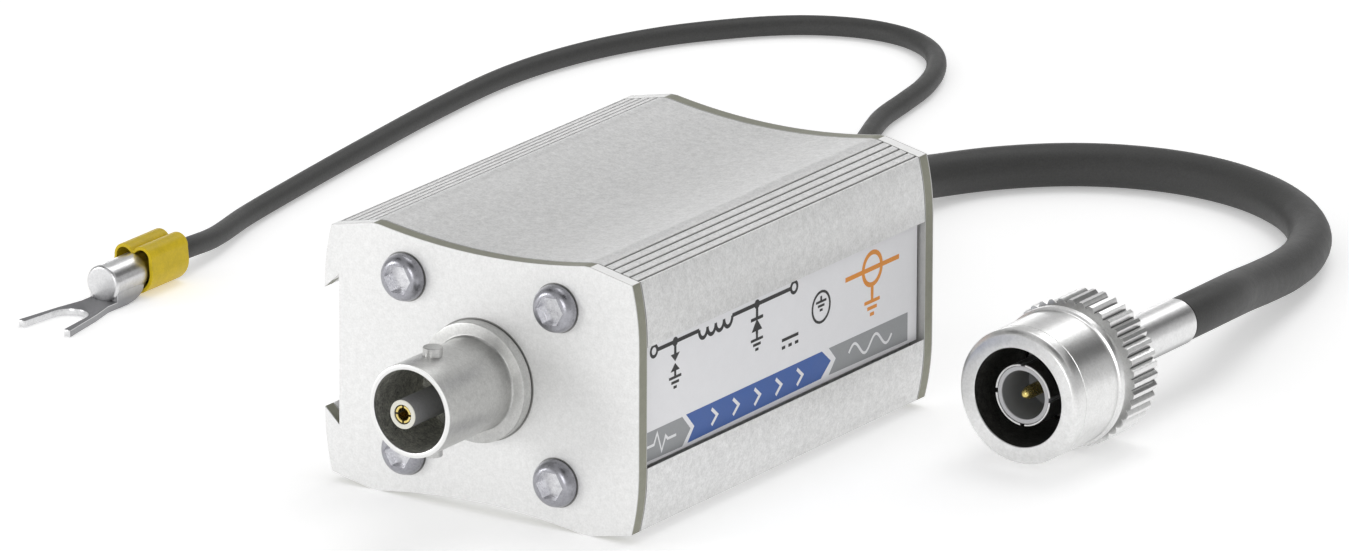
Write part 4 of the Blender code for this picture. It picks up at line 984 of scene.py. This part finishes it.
class ARRESTOR_OT_plates(bpy.types.Operator):
    """The two end plates with their holes"""

    bl_idname = "arrestor.plates"
    bl_label = "End Plates"

    def execute(self, context):
        sizes, finishes = context.scene.arrestor_sizes, context.scene.arrestor_finishes
        jack_r, coax_r, earth_r, screw_r = 4.8, 3.8, 2.2, 1.7
        rear_holes = [(0, AXIS_Z, coax_r), (0, AXIS_Z + EARTH_RISE, earth_r)]
        jobs = (
            ("front_end_plate", FRONT_Y, FRONT_Y, 1, "front_plate", [(0, AXIS_Z, jack_r)]),
            ("rear_end_plate", REAR_Y - PLATE, REAR_Y, -1, "rear_plate", rear_holes),
        )
        for name, start, face, inward, node, holes in jobs:
            plate = trace(name, section(False, True, False, sizes), start, start + PLATE)
            front, rear = start / MM - 1, (start + PLATE) / MM + 1
            places = holes + [(x, z, screw_r) for _, x, z in screw_places()]
            bores = [lathe("hole", [(radius, front), (radius, rear)], (x, z)) for x, z, radius in places]
            cut(plate, join(bores, "holes"))
            soften(plate, sizes.plate_bevel, 2, 40)
            blasted_plate = plate_finish(name + "_blasted", finishes, face, inward)
            finish(plate, blasted_plate, [node], 22)
        return {"FINISHED"}


class ARRESTOR_OT_screws(bpy.types.Operator):
    """Eight button-head screws with hexagon sockets"""

    bl_idname = "arrestor.screws"
    bl_label = "Screws"

    def execute(self, context):
        flat_r, head_r, shank_r, seat, rise = 1.5, 2.47, 1.4, 0.1, 1.28
        profile = []
        for turn in (math.radians(degrees) for degrees in range(0, 91, 9)):
            height = seat + rise * (0.12 + 0.88 * math.cos(turn))
            profile.append((flat_r + (head_r - flat_r) * math.sin(turn), -height))
        profile += [(head_r, -seat), (shank_r, -seat), (shank_r, 6.4), (0.85, 7.0)]
        model = lathe("screw", profile, (0, 0), 72)
        flats, depth = 0.0028, 0.0009
        cut(model, hexagon("socket", flats, 0, 0, depth - (seat + rise) * MM, -0.0025))
        soften(model, 0.00005, 2, 45)
        steel, half_turn = screw_finish(), Matrix.Rotation(math.pi, 4, "Z")
        for name, x, z in screw_places():
            front = copy_of(model, "front_screw_piece_" + name, None, (x, FRONT_Y, z))
            finish(front, steel, ["front_screw_" + name])
            rear = copy_of(model, "rear_screw_piece_" + name, half_turn, (x, REAR_Y, z))
            finish(rear, steel, ["rear_screw_" + name])
        bpy.data.objects.remove(model, do_unlink=True)
        return {"FINISHED"}


class ARRESTOR_OT_jack(bpy.types.Operator):
    """The bayonet jack: shell with two lugs, insulator and slotted contact"""

    bl_idname = "arrestor.jack"
    bl_label = "Jack"

    def execute(self, context):
        finishes = context.scene.arrestor_finishes
        tip = 12.4
        zero = FRONT_Y - SEAT
        axis = (0, AXIS_Z, zero)
        outer, bore, flange_r, flange = 4.84, 4.28, 6.25, 1.36
        profile = [
            (bore, -3.8), (bore, -tip + 0.10), (bore + 0.03, -tip + 0.03), (bore + 0.09, -tip),
            (outer - 0.09, -tip), (outer - 0.03, -tip + 0.03), (outer, -tip + 0.10),
            (outer, -flange - 0.30), (outer + 0.04, -flange - 0.15), (outer + 0.13, -flange - 0.04),
            (outer + 0.30, -flange), (flange_r - 0.14, -flange), (flange_r - 0.04, -flange + 0.04),
            (flange_r, -flange + 0.14), (flange_r, -0.05), (flange_r - 0.05, 0.0), (4.6, 0.0),
            (4.6, 5.05), (4.4, 5.2), (2.6, 5.2), (2.6, -3.8), (bore, -3.8),
        ]
        shell = lathe("jack_body", profile, axis)
        lug_r, lug_root, lug_height, lug_edge = 0.0010, 0.00456, 0.00108, 0.00006
        lug_y = FRONT_Y - JACK_LENGTH + LUG_BEHIND_RIM
        for turn in (0, math.pi):
            lug = circle("lug", (0, lug_y, lug_root), lug_r, 48, fill="NGON")
            push(0, 0, lug_height)
            push(0, 0, lug_edge)
            narrower = (lug_r - lug_edge) / lug_r
            bpy.ops.transform.resize(value=(narrower, narrower, 1), center_override=(0, lug_y, 0))
            face_outward(lug)
            settle(lug, Matrix.Translation((0, 0, AXIS_Z)) @ Matrix.Rotation(turn, 4, "Y"))
            cut(shell, lug, "UNION")
        # Painted shade: a tone of 0.68 makes the jack's nickel darker than the plug's, and the inside of its mouth is
        # painted near black.
        nickel = nickel_finish(
            "jack_satin_nickel", finishes, 0.38, (0, AXIS_Z), hollow_r=0.00455, hollow_y=zero - 0.01225, dark=0.36,
            tone=0.68,
        )
        # Painted highlight: the front face of the lip is coloured near white.
        lip_highlight = 1 - nickel.axis("Y").step(zero - (tip - 0.09) * MM, 0.00006)
        nickel.set("Base Color", nickel.mix(lip_highlight * 0.65, nickel.base, (0.96, 0.96, 0.95)))
        finish(shell, nickel.material, ["jack_shell"])
        nose = tip + 1.2
        core = lathe("jack_core", [
            (1.02, -nose + 0.02), (1.06, -nose), (1.42, -nose), (1.48, -nose + 0.03), (1.5, -nose + 0.09),
            (1.5, -4.8), (2.4, -4.8), (2.4, 6.4), (1.02, 6.4), (1.02, -nose + 0.02),
        ], axis, 72)
        white = plastic_finish("jack_insulator_resin", (0.66, 0.66, 0.60), 0.5, spread=0.08)
        # Painted shade: behind its front face the insulator is coloured dark grey, inside the shell.
        behind = white.axis("Y").step(zero - nose * MM + 0.00010, 0.00002)
        side = white.mix(white.noise(3000, 2.0), (0.16, 0.16, 0.165), (0.24, 0.24, 0.245))
        white.set("Base Color", white.mix(behind, (0.68, 0.67, 0.60, 1.0), side))
        finish(core, white.material, ["jack_insulator"])
        contact = lathe("jack_spring_contact", [
            (0.66, -8.4), (0.66, -nose + 0.14), (0.70, -nose + 0.1), (0.88, -nose + 0.1), (0.92, -nose + 0.14),
            (0.92, 6.4), (0.60, 6.4), (0.60, 10.4), (0.42, 10.6),
        ], axis, 72)
        crossed_slots(contact, 0, AXIS_Z, 0.00022, 0.0015, zero - nose * MM - 0.0004, zero - 0.0088)
        finish(contact, gold_finish(), ["jack_contact"])
        return {"FINISHED"}


class ARRESTOR_OT_plug(bpy.types.Operator):
    """The plug: knurled coupling nut, slotted shell, insulator cup, pin, ferrule, rings and wave washer"""

    bl_idname = "arrestor.plug"
    bl_label = "Plug"

    def execute(self, context):
        finishes = context.scene.arrestor_finishes
        axis = (PLUG_X, PLUG_Z, PLUG_Y)
        tip, depth, teeth = 7.78, 0.45, 40
        front, rear = 9.9, 14.7
        profile = [
            (5.2, 9.5), (5.2, 0.06), (5.26, 0.0), (6.55, 0.0), (6.64, 0.03), (7.06, 0.44), (7.10, 0.54),
            (7.10, 1.72), (6.97, 1.78), (6.97, 1.82), (7.10, 1.88), (7.10, 7.72), (7.16, 7.86), (7.32, 7.95),
            (7.38, 7.97), (7.40, 8.03), (7.40, 8.62), (7.36, 8.70), (6.70, 8.70), (6.70, front),
            (tip - 0.03, front), (tip, front + 0.04), (tip, rear - 0.36), (tip - 0.10, rear - 0.22),
            (tip - 0.34, rear - 0.04), (6.95, rear), (3.7, rear), (3.7, 12.8), (5.4, 12.8), (5.4, 9.55), (5.2, 9.5),
        ]
        nut = lathe("plug_nut", profile, axis, teeth * 6)
        for share, low in ((0.5, 1.0), (1 / 3, 0.42)):

            def in_valley(place):
                """Whether a vertex lies on the knurl, at this share of the way from a tooth's tip to the next."""
                across, up = place.x - PLUG_X, place.z - PLUG_Z
                phase = (math.atan2(up, across) / (2 * math.pi) * teeth) % 1.0
                outside = math.hypot(across, up) > 0.0071 and place.y - PLUG_Y > front * MM - 1e-6
                return outside and abs(min(phase, 1 - phase) - share) < 0.05

            choose(nut, in_valley)
            ratio = (tip - depth * low) / tip
            bpy.ops.transform.resize(value=(ratio, 1, ratio), center_override=(PLUG_X, PLUG_Y, PLUG_Z))
            bpy.ops.object.mode_set(mode="OBJECT")
        # Painted light: a tone of 1.22 makes the nut's nickel lighter, and inside its bore the colour is painted
        # shade.
        nickel = nickel_finish(
            "nut_satin_nickel", finishes, 0.30, (PLUG_X, PLUG_Z), hollow_r=0.00523, hollow_y=PLUG_Y + 0.00012,
            dark=0.07, tone=1.22,
        )
        knurl_start, knurl_end = PLUG_Y + front * MM + 0.00012, PLUG_Y + rear * MM - 0.0003
        knurl = nickel.axis("Y").between(knurl_start, knurl_end, 0.00006, 0.0001)
        # Painted shade: the valleys of the knurl are coloured near black.
        valley_shade = (1 - nickel.radius(PLUG_X, PLUG_Z).step(0.00743, 0.00009)) * knurl
        nickel.set("Base Color", nickel.mix(valley_shade * 0.7, nickel.base, (0.12, 0.12, 0.12)))
        finish(nut, nickel.material, ["coupling_nut"], 26, body="nut")
        shell = lathe("plug_shell", [
            (3.05, 14.8), (3.05, 1.0), (3.10, 0.95), (3.22, 0.95), (3.27, 1.0), (3.27, 9.2), (4.07, 9.85), (5.0, 9.85),
            (5.0, 10.85), (3.4, 10.85), (3.4, 14.9), (3.0, 14.9), (3.0, 15.7), (3.4, 15.7), (3.4, 16.1), (3.2, 16.3),
            (1.6, 16.3), (1.6, 22.8), (0.88, 22.8), (0.88, 14.8), (3.05, 14.8),
        ], axis)
        crossed_slots(shell, PLUG_X, PLUG_Z, 0.0005, 0.0037, PLUG_Y + 0.0005, PLUG_Y + 0.00595)
        metal = nickel_finish("shell_satin_nickel", finishes, 0.30, (PLUG_X, PLUG_Z))
        finish(shell, metal.material, ["plug_body"])
        cup = lathe("plug_core", [
            (2.56, 6.2), (2.56, 1.13), (2.59, 1.07), (2.65, 1.05), (2.98, 1.05), (3.03, 1.10), (3.03, 14.6),
            (0.88, 14.6), (0.88, 6.2), (2.56, 6.2),
        ], axis)
        resin = plastic_finish("plug_insulator_resin", (0.30, 0.30, 0.31), 0.45, spread=0.12)
        # Painted shade: the insulator is coloured darker deeper inside the plug.
        deep_shade = resin.axis("Y").step(PLUG_Y + 0.0012, 0.00004)
        resin.set("Base Color", resin.mix(deep_shade, (0.46, 0.46, 0.47, 1.0), (0.19, 0.195, 0.20, 1.0)))
        finish(cup, resin.material, ["plug_insulator"])
        pin = lathe("plug_centre_pin", [
            (0.10, 1.2), (0.22, 1.22), (0.36, 1.32), (0.50, 1.55), (0.60, 1.85), (0.66, 2.15), (0.68, 2.3),
            (0.68, 16.2),
        ], axis, 48)
        finish(pin, gold_finish(), ["plug_pin"])
        ferrule = lathe("plug_ferrule", [
            (2.0, 16.6), (2.37, 16.6), (2.44, 16.63), (2.47, 16.7), (2.47, 30.40), (2.43, 30.52), (2.36, 30.56),
            (2.0, 30.56), (2.0, 16.6),
        ], axis)
        # Painted light: a tone of 1.34 makes the ferrule's nickel lighter.
        sleeve_metal = nickel_finish("ferrule_nickel", finishes, 0.33, (PLUG_X, PLUG_Z), tone=1.34)
        # Painted shade: the ferrule's underside is coloured dark.
        underside_shade = 1 - sleeve_metal.axis("Z").step(PLUG_Z - 0.00140, 0.0007)
        sleeve_metal.set("Base Color", sleeve_metal.mix(underside_shade * 0.75, sleeve_metal.base, (0.22, 0.22, 0.22)))
        finish(ferrule, sleeve_metal.material, ["crimp_ferrule"])
        ring = lathe("plug_snap_ring", [(3.2, 15.0), (4.3, 15.0), (4.3, 15.6), (3.2, 15.6), (3.2, 15.0)], axis)
        low, high = (PLUG_X - 0.001, PLUG_Y + 0.0139, PLUG_Z), (PLUG_X + 0.001, PLUG_Y + 0.0165, PLUG_Z + 0.0053)
        cut(ring, block("mouth", low, high))
        soften(ring, 0.00006)
        steel = blasted("ring_spring_steel", (0.42, 0.42, 0.44), 0.32, 1.0).material
        finish(ring, steel, ["snap_ring"])
        half, lift, waves = 0.125, 0.00045, 3
        middle = middle_of("wave_washer", "y")
        wave = lathe("plug_wave_washer", [
            (3.8, -half), (4.8, -half), (4.8, half), (3.8, half), (3.8, -half),
        ], (PLUG_X, PLUG_Z, middle), waves * 24)
        for crest in range(-6, 7):
            level = math.sin(math.radians(15 * crest))

            def at_level(place):
                """Whether a vertex that is still flat comes to this level of the wave."""
                angle = math.atan2(place.z - PLUG_Z, place.x - PLUG_X)
                return abs(math.sin(waves * angle) - level) < 0.01 and abs(place.y - middle) < 0.00013

            choose(wave, at_level)
            bpy.ops.transform.translate(value=(0, lift * level, 0))
            bpy.ops.object.mode_set(mode="OBJECT")
        finish(wave, steel, ["wave_washer"])
        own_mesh(wave)
        return {"FINISHED"}


class ARRESTOR_OT_fork(bpy.types.Operator):
    """The fork terminal and its folded yellow sleeve"""

    bl_idname = "arrestor.fork"
    bl_label = "Fork Terminal"

    def execute(self, context):
        finishes = context.scene.arrestor_finishes
        x0, y0 = FORK_X, BARREL_Y
        root_r, root_at = 0.00205, 0.00585
        right = [(0.00175, -0.0026), (0.00175, 0.0012), (0.00245, 0.0044), (0.00310, 0.0086), (0.00334, 0.01005)]
        right += [(0.00328, 0.0102), (0.00256, 0.0102), (0.0025, 0.01005)]
        outline = right + arc(0, root_at, root_r, 0, -180, 32) + [(-x, along) for x, along in reversed(right)]
        sheet_low, sheet_high = 0.00005, 0.00085
        tongue = trace("fork", [(x0 + x, along) for x, along in outline], sheet_low, sheet_high)
        close_up(settle(tongue, Matrix(((1, 0, 0, 0), (0, 0, -1, y0), (0, 1, 0, 0), (0, 0, 0, 1)))))
        soften(tongue, 0.00010, 2, 40)
        profile = [(1.2, 0.0), (1.65, 0.0)] + arc(1.65, 0.35, 0.35, -75, 0, 5)
        profile += [(2.0, 5.5), (1.6, 5.52), (1.6, 9.3), (1.32, 9.3), (1.32, 4.2)]
        barrel = lathe("barrel", profile, (x0, FORK_Z, y0), 72)
        half = 0.00185
        rise = [(0.4, 0.10), (2.9, 0.10), (3.7, 0.22), (4.4, 0.50), (4.9, 0.88), (5.2, 1.35), (5.25, 2.0), (0.4, 2.0)]
        saddle = sheet("saddle", [(y0 + along * MM, z * MM) for along, z in rise], x0 - half, x0 + half)
        soften(saddle, 0.00028, 3, 40)
        cut(barrel, saddle, "UNION")
        cut(tongue, barrel, "UNION")
        tin = blasted("fork_bright_tin", (0.72, 0.72, 0.73), 0.30, 1.0, speckle=0.12, bump=0.3)
        # Painted shade: the tongue's flat top, its outer flanks and the barrel's underside are coloured dark grey.
        up, along = tin.axis("Z"), y0 - tin.axis("Y")
        behind = tin.axis("Y").step(y0 + 0.00045, 0.00010)
        top_shade = up.between(0.00080, 0.00088, 0.00004) * (1 - behind)
        half_width = (along * 0.21875 + 0.0014875).smaller(along * 0.1548 + 0.001769).larger(0.00175)
        flank_shade = ((tin.axis("X") - x0).magnitude() - half_width).step(-0.00005, 0.00003)
        flank_shade = flank_shade * (1 - up.step(0.00074, 0.00004)) * (1 - behind)
        underside_shade = (1 - up.step(0.0020, 0.0022)) * behind
        shade = tin.mix(top_shade * 0.9, tin.base, (0.20, 0.20, 0.21))
        shade = tin.mix(flank_shade * 0.85, shade, (0.22, 0.22, 0.23))
        tin.set("Base Color", tin.mix(underside_shade * 0.85, shade, (0.20, 0.20, 0.21)))
        tin.set("Roughness", top_shade * 0.3 + 0.30)
        finish(tongue, tin.material, ["fork_terminal"])
        end_y = SLEEVE_END_Y - 0.0015
        if end_y <= SLEEVE_Y:
            raise RuntimeError("the sleeve has no length")
        wall, rear_wall, bore_r = 0.00035, 0.0012, 1.42
        sleeve = trace("fork_sleeve", self.heart(0.0), SLEEVE_Y, end_y)
        soften(sleeve, 0.00016, 3, 40)
        cut(sleeve, trace("inside", self.heart(wall), SLEEVE_Y - MM, end_y - rear_wall))
        start, end = SLEEVE_Y / MM - 1, end_y / MM + 1
        cut(sleeve, lathe("wire_bore", [(bore_r, start), (bore_r, end)], (FORK_X, FORK_Z), 48))
        yellow = plastic_finish("sleeve_yellow_vinyl", finishes.sleeve_colour, spread=0.22, bump=0.2, gloss=0.25)
        finish(sleeve, yellow.material, ["terminal_sleeve"])
        return {"FINISHED"}

    def heart(self, wall):
        """Heart-shaped section of the folded sleeve, a wall inside its outer face."""
        low_r, lobe_r, groove_z = 0.00255 - wall, 0.0013 - wall, 0.00215 - wall
        low = arc(0, 0, low_r, 180, 360, 32)
        lobe = arc(0.00112, 0.0015, lobe_r, -5, 135, 16)
        points = low + lobe + [(0.0, groove_z)] + [(-x, z) for x, z in reversed(lobe)]
        return [(x + FORK_X, z + FORK_Z) for x, z in points]


class ARRESTOR_OT_glands(bpy.types.Operator):
    """The two rubber glands in the rear plate"""

    bl_idname = "arrestor.glands"
    bl_label = "Glands"

    def execute(self, context):
        rubber = rubber_finish("gland_rubber", (0.018, 0.018, 0.018), 4200)
        jobs = (
            ("coax_gland", AXIS_Z, COAX_GLAND_HEAD / MM, 2.65, 4.6, 3.7, 3.6),
            ("earth_gland", AXIS_Z + EARTH_RISE, EARTH_GLAND_HEAD / MM, 1.42, 2.6, 2.0, 2.0),
        )
        for node, z, head, bore, head_r, mouth_r, neck_r in jobs:
            profile = [
                (bore, head - 0.2), (bore + 0.15, head), (mouth_r - 0.35, head), (mouth_r - 0.12, head - 0.1),
                (mouth_r, head - 0.35), (head_r - 0.08, 1.0), (head_r, 0.8), (head_r, 0.4), (head_r - 0.12, 0.2),
                (neck_r, 0.2), (neck_r, -1.7), (neck_r + 0.7, -1.7), (neck_r + 0.7, -2.7), (bore, -2.7),
                (bore, head - 0.2),
            ]
            gland = lathe(node + "_piece", profile, (0, z, REAR_Y))
            finish(gland, rubber, [node])
        return {"FINISHED"}


class ARRESTOR_OT_label(bpy.types.Operator):
    """The plain rating label with a generic circuit diagram and flow band"""

    bl_idname = "arrestor.label"
    bl_label = "Label"

    def execute(self, context):
        sizes, finishes = context.scene.arrestor_sizes, context.scene.arrestor_finishes
        low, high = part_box("rating_label")
        self.face = high.x + LABEL_RISE
        self.height = sizes.print_height
        rear = REAR_Y - PLATE - 0.0003
        corners = [(low.y, low.z), (rear, low.z), (rear, high.z), (low.y, high.z)]
        plate = sheet("label_ground", corners, low.x, self.face)
        soften(plate, 0.00006, 2)
        ground = plastic_finish("label_ground_film", finishes.label_colour, 0.35, spread=0.03, bump=0.05)
        finish(plate, ground.material, ["rating_label"])
        self.printed("label_print_black", self.diagram() + self.small_symbols(), (0.012, 0.012, 0.012))
        self.height = sizes.print_height
        self.printed("label_print_orange", self.coax_sign(), (0.75, 0.27, 0.02))
        self.height = sizes.print_height
        left = [(-20.1, 7.75), (-12.9, 7.65), (-11.4, 9.15), (-12.9, 10.75), (-20.1, 10.75)]
        right = [(13.9, 7.95), (28.6, 7.75), (28.6, 10.75), (13.9, 10.8), (15.2, 9.4)]
        middle = [(-11.95, 7.75), (12.4, 7.95), (14.25, 9.4), (12.6, 10.8), (-12.2, 10.8), (-10.7, 9.2)]
        self.printed("label_print_grey", [self.area(left), self.area(right)], (0.30, 0.31, 0.32))
        self.printed("label_print_blue", [self.area(middle)], (0.035, 0.105, 0.36))
        self.printed("label_print_white", self.flow_symbols(), (0.80, 0.80, 0.82))
        return {"FINISHED"}

    def area(self, points):
        """A printed field through (y, z) points in millimetres."""
        self.height += INK_STEP
        outline = [((y + PRINT_SHIFT[0]) * MM, (z + PRINT_SHIFT[1]) * MM) for y, z in points]
        return sheet("field", outline, self.face - self.height, self.face + self.height)

    def stroke(self, points, width=0.40):
        """A printed line of even width through (y, z) points in millimetres."""
        line = [Vector(point) for point in points]
        sides = [(after - before).normalized() for before, after in zip(line, line[1:])]
        left, right = [], []
        for place, point in enumerate(line):
            before, after = sides[max(place - 1, 0)], sides[min(place, len(sides) - 1)]
            middle = (before + after).normalized()
            across = Vector((-middle.y, middle.x)) * (width / 2 / max(0.6, middle.dot(after)))
            left.append(tuple(point + across))
            right.append(tuple(point - across))
        return self.area(right + left[::-1])

    def ring(self, y, z, outer, inner):
        """A printed ring."""
        self.height += INK_STEP
        place = (self.face - self.height, (y + PRINT_SHIFT[0]) * MM, (z + PRINT_SHIFT[1]) * MM)
        piece = circle("ring", place, outer * MM, 64, (0, math.pi / 2, 0))
        push(0, 0, 0)
        ratio = inner / outer
        bpy.ops.transform.resize(value=(1, ratio, ratio), center_override=place)
        bpy.ops.mesh.select_all(action="SELECT")
        push(2 * self.height, 0, 0)
        bpy.ops.object.mode_set(mode="OBJECT")
        return close_up(piece)

    def dot(self, y, z, radius):
        """A printed dot."""
        return self.area(arc(y, z, radius, 0, 352.5, 47))

    def earth(self, y, z, size=1.0):
        """An earth symbol whose stem starts at (y, z)."""
        bars = [self.stroke([(y, z), (y, z - 0.7 * size)], 0.36 * size)]
        for number, half in enumerate((1.15, 0.72, 0.30)):
            level = z - (0.7 + 0.55 * number) * size
            bars.append(self.stroke([(y - half * size, level), (y + half * size, level)], 0.30 * size))
        return bars

    def diagram(self):
        """Line, spark gap to earth, coil in the line, diode to earth, line."""
        z, pen, gap_y, diode_y = 19.0, 0.42, -14.2, 0.6
        marks = [self.ring(-18.0, z, 0.75, 0.40), self.stroke([(-17.3, z), (-9.9, z)], pen)]
        for turn in range(4):
            middle = -9.15 + 1.5 * turn
            angles = [math.radians(degrees) for degrees in range(0, 181, 12)]
            loop = [(middle - 0.75 * math.cos(angle), z - 0.95 * math.sin(angle)) for angle in angles]
            marks.append(self.stroke(loop, pen))
        marks += [self.stroke([(-3.9, z), (6.7, z)], pen), self.ring(7.4, z, 0.75, 0.40)]
        marks += [self.dot(gap_y, z, 0.48), self.dot(diode_y, z, 0.48)]
        marks.append(self.stroke([(gap_y, z), (gap_y, 17.75)]))
        marks.append(self.area([(-15.0, 17.75), (-13.4, 17.75), (gap_y, 16.95)]))
        marks.append(self.area([(gap_y, 16.75), (-13.4, 15.95), (-15.0, 15.95)]))
        marks += self.earth(gap_y, 15.95, 0.95)
        marks.append(self.stroke([(diode_y, z), (diode_y, 17.4)]))
        marks.append(self.area([(-0.35, 16.2), (1.55, 16.2), (diode_y, 17.45)]))
        marks.append(self.stroke([(-0.5, 17.5), (1.7, 17.5)], 0.34))
        marks.append(self.stroke([(diode_y, 16.2), (diode_y, 15.9)]))
        return marks + self.earth(diode_y, 15.95, 0.95)

    def small_symbols(self):
        """Direct current, and earth in a ring."""
        marks = [self.stroke([(5.2, 13.9), (8.2, 13.9)], 0.32)]
        marks += [self.stroke([(5.2 + 1.2 * n, 13.1), (5.8 + 1.2 * n, 13.1)], 0.32) for n in range(3)]
        marks += [self.ring(12.4, 15.6, 1.75, 1.48), *self.earth(12.4, 16.75, 0.82)]
        return marks

    def coax_sign(self):
        """The usual sign for a screened lead: line, screen ring, and the screen to earth."""
        marks = [self.ring(21.9, 17.2, 1.95, 1.45), self.stroke([(16.9, 17.2), (26.9, 17.2)], 0.50)]
        return marks + [self.stroke([(21.9, 15.5), (21.9, 14.3)], 0.50), *self.earth(21.9, 14.6, 1.25)]

    def flow_symbols(self):
        """A jagged surge, chevrons and a calm wave."""
        self.height *= 2
        surge = [(-19.6, 9.2), (-18.0, 9.2), (-17.4, 10.3), (-16.6, 8.2), (-15.9, 9.6), (-15.5, 9.2), (-14.0, 9.2)]
        marks = [self.stroke(surge, 0.28)]
        for number in range(5):
            y = -7.6 + 3.9 * number
            marks.append(self.stroke([(y, 10.15), (y + 1.0, 9.3), (y, 8.45)], 0.36))
        wave = [(17.6 + step * 0.2, 9.3 + 0.75 * math.sin(2 * math.pi * step / 20)) for step in range(41)]
        return marks + [self.stroke(wave, 0.28)]

    def printed(self, name, marks, colour):
        """Join marks of one ink and colour them."""
        piece = join(marks, name)
        ink = plastic_finish(name + "_ink", colour, 0.40, spread=0.08, bump=0.05)
        finish(piece, ink.material)


class ARRESTOR_OT_inside(bpy.types.Operator):
    """Finishes of the parts that keep their CAD shape"""

    bl_idname = "arrestor.inside"
    bl_label = "Inner Parts"

    def execute(self, context):
        steel = blasted("washer_spring_steel", (0.48, 0.48, 0.50), 0.34, 1.0).material
        brass = blasted("jack_nut_nickel", (0.70, 0.70, 0.68), 0.34, 1.0).material
        looks = {
            "thrust_washer": steel,
            "jack_nut": brass,
            "jack_lock_washer": brass,
            "circuit_board": board_finish(),
            "gas_discharge_tube": plastic_finish("gas_tube_ceramic", (0.72, 0.70, 0.66), 0.35, spread=0.06).material,
            "decoupling_coil": blasted("coil_copper", (0.72, 0.33, 0.18), 0.35, 1.0).material,
            "suppressor_diode": plastic_finish("diode_epoxy", (0.03, 0.03, 0.03), 0.5, spread=0.3).material,
            "coax_core": plastic_finish("core_polyethylene", (0.80, 0.80, 0.76), 0.45, spread=0.05).material,
        }
        for node, look in looks.items():
            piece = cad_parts[node]
            piece.data.materials.clear()
            piece.data.materials.append(look)
        return {"FINISHED"}


class ARRESTOR_PT_panel(bpy.types.Panel):
    """Lists the pieces of the arrestor"""

    bl_label = "Coax Lightning Arrestor"
    bl_idname = "ARRESTOR_PT_panel"
    bl_space_type = "VIEW_3D"
    bl_region_type = "UI"
    bl_category = "Arrestor"

    def draw(self, context):
        for group in (context.scene.arrestor_sizes, context.scene.arrestor_finishes, context.scene.arrestor_stage):
            box = self.layout.box()
            for name in group.bl_rna.properties.keys():
                if name not in ("rna_type", "name"):
                    box.prop(group, name)
        for operator in OPERATORS:
            self.layout.operator(operator.bl_idname)


OPERATORS = (
    ARRESTOR_OT_stage, ARRESTOR_OT_case, ARRESTOR_OT_plates, ARRESTOR_OT_screws, ARRESTOR_OT_jack, ARRESTOR_OT_label,
    ARRESTOR_OT_glands, ARRESTOR_OT_plug, ARRESTOR_OT_fork, ARRESTOR_OT_leads, ARRESTOR_OT_inside,
)
GROUPS = (ArrestorSizes, ArrestorFinishes, ArrestorStage)


def register():
    for made in GROUPS + OPERATORS + (ARRESTOR_PT_panel,):
        bpy.utils.register_class(made)
    bpy.types.Scene.arrestor_sizes = PointerProperty(type=ArrestorSizes)
    bpy.types.Scene.arrestor_finishes = PointerProperty(type=ArrestorFinishes)
    bpy.types.Scene.arrestor_stage = PointerProperty(type=ArrestorStage)


def unregister():
    for name in ("arrestor_stage", "arrestor_finishes", "arrestor_sizes"):
        delattr(bpy.types.Scene, name)
    for made in reversed(GROUPS + OPERATORS + (ARRESTOR_PT_panel,)):
        bpy.utils.unregister_class(made)


def main():
    """Build every piece."""
    register()
    for operator in OPERATORS:
        getattr(bpy.ops.arrestor, operator.bl_idname.split(".")[1])()


if __name__ == "__main__":
    main()
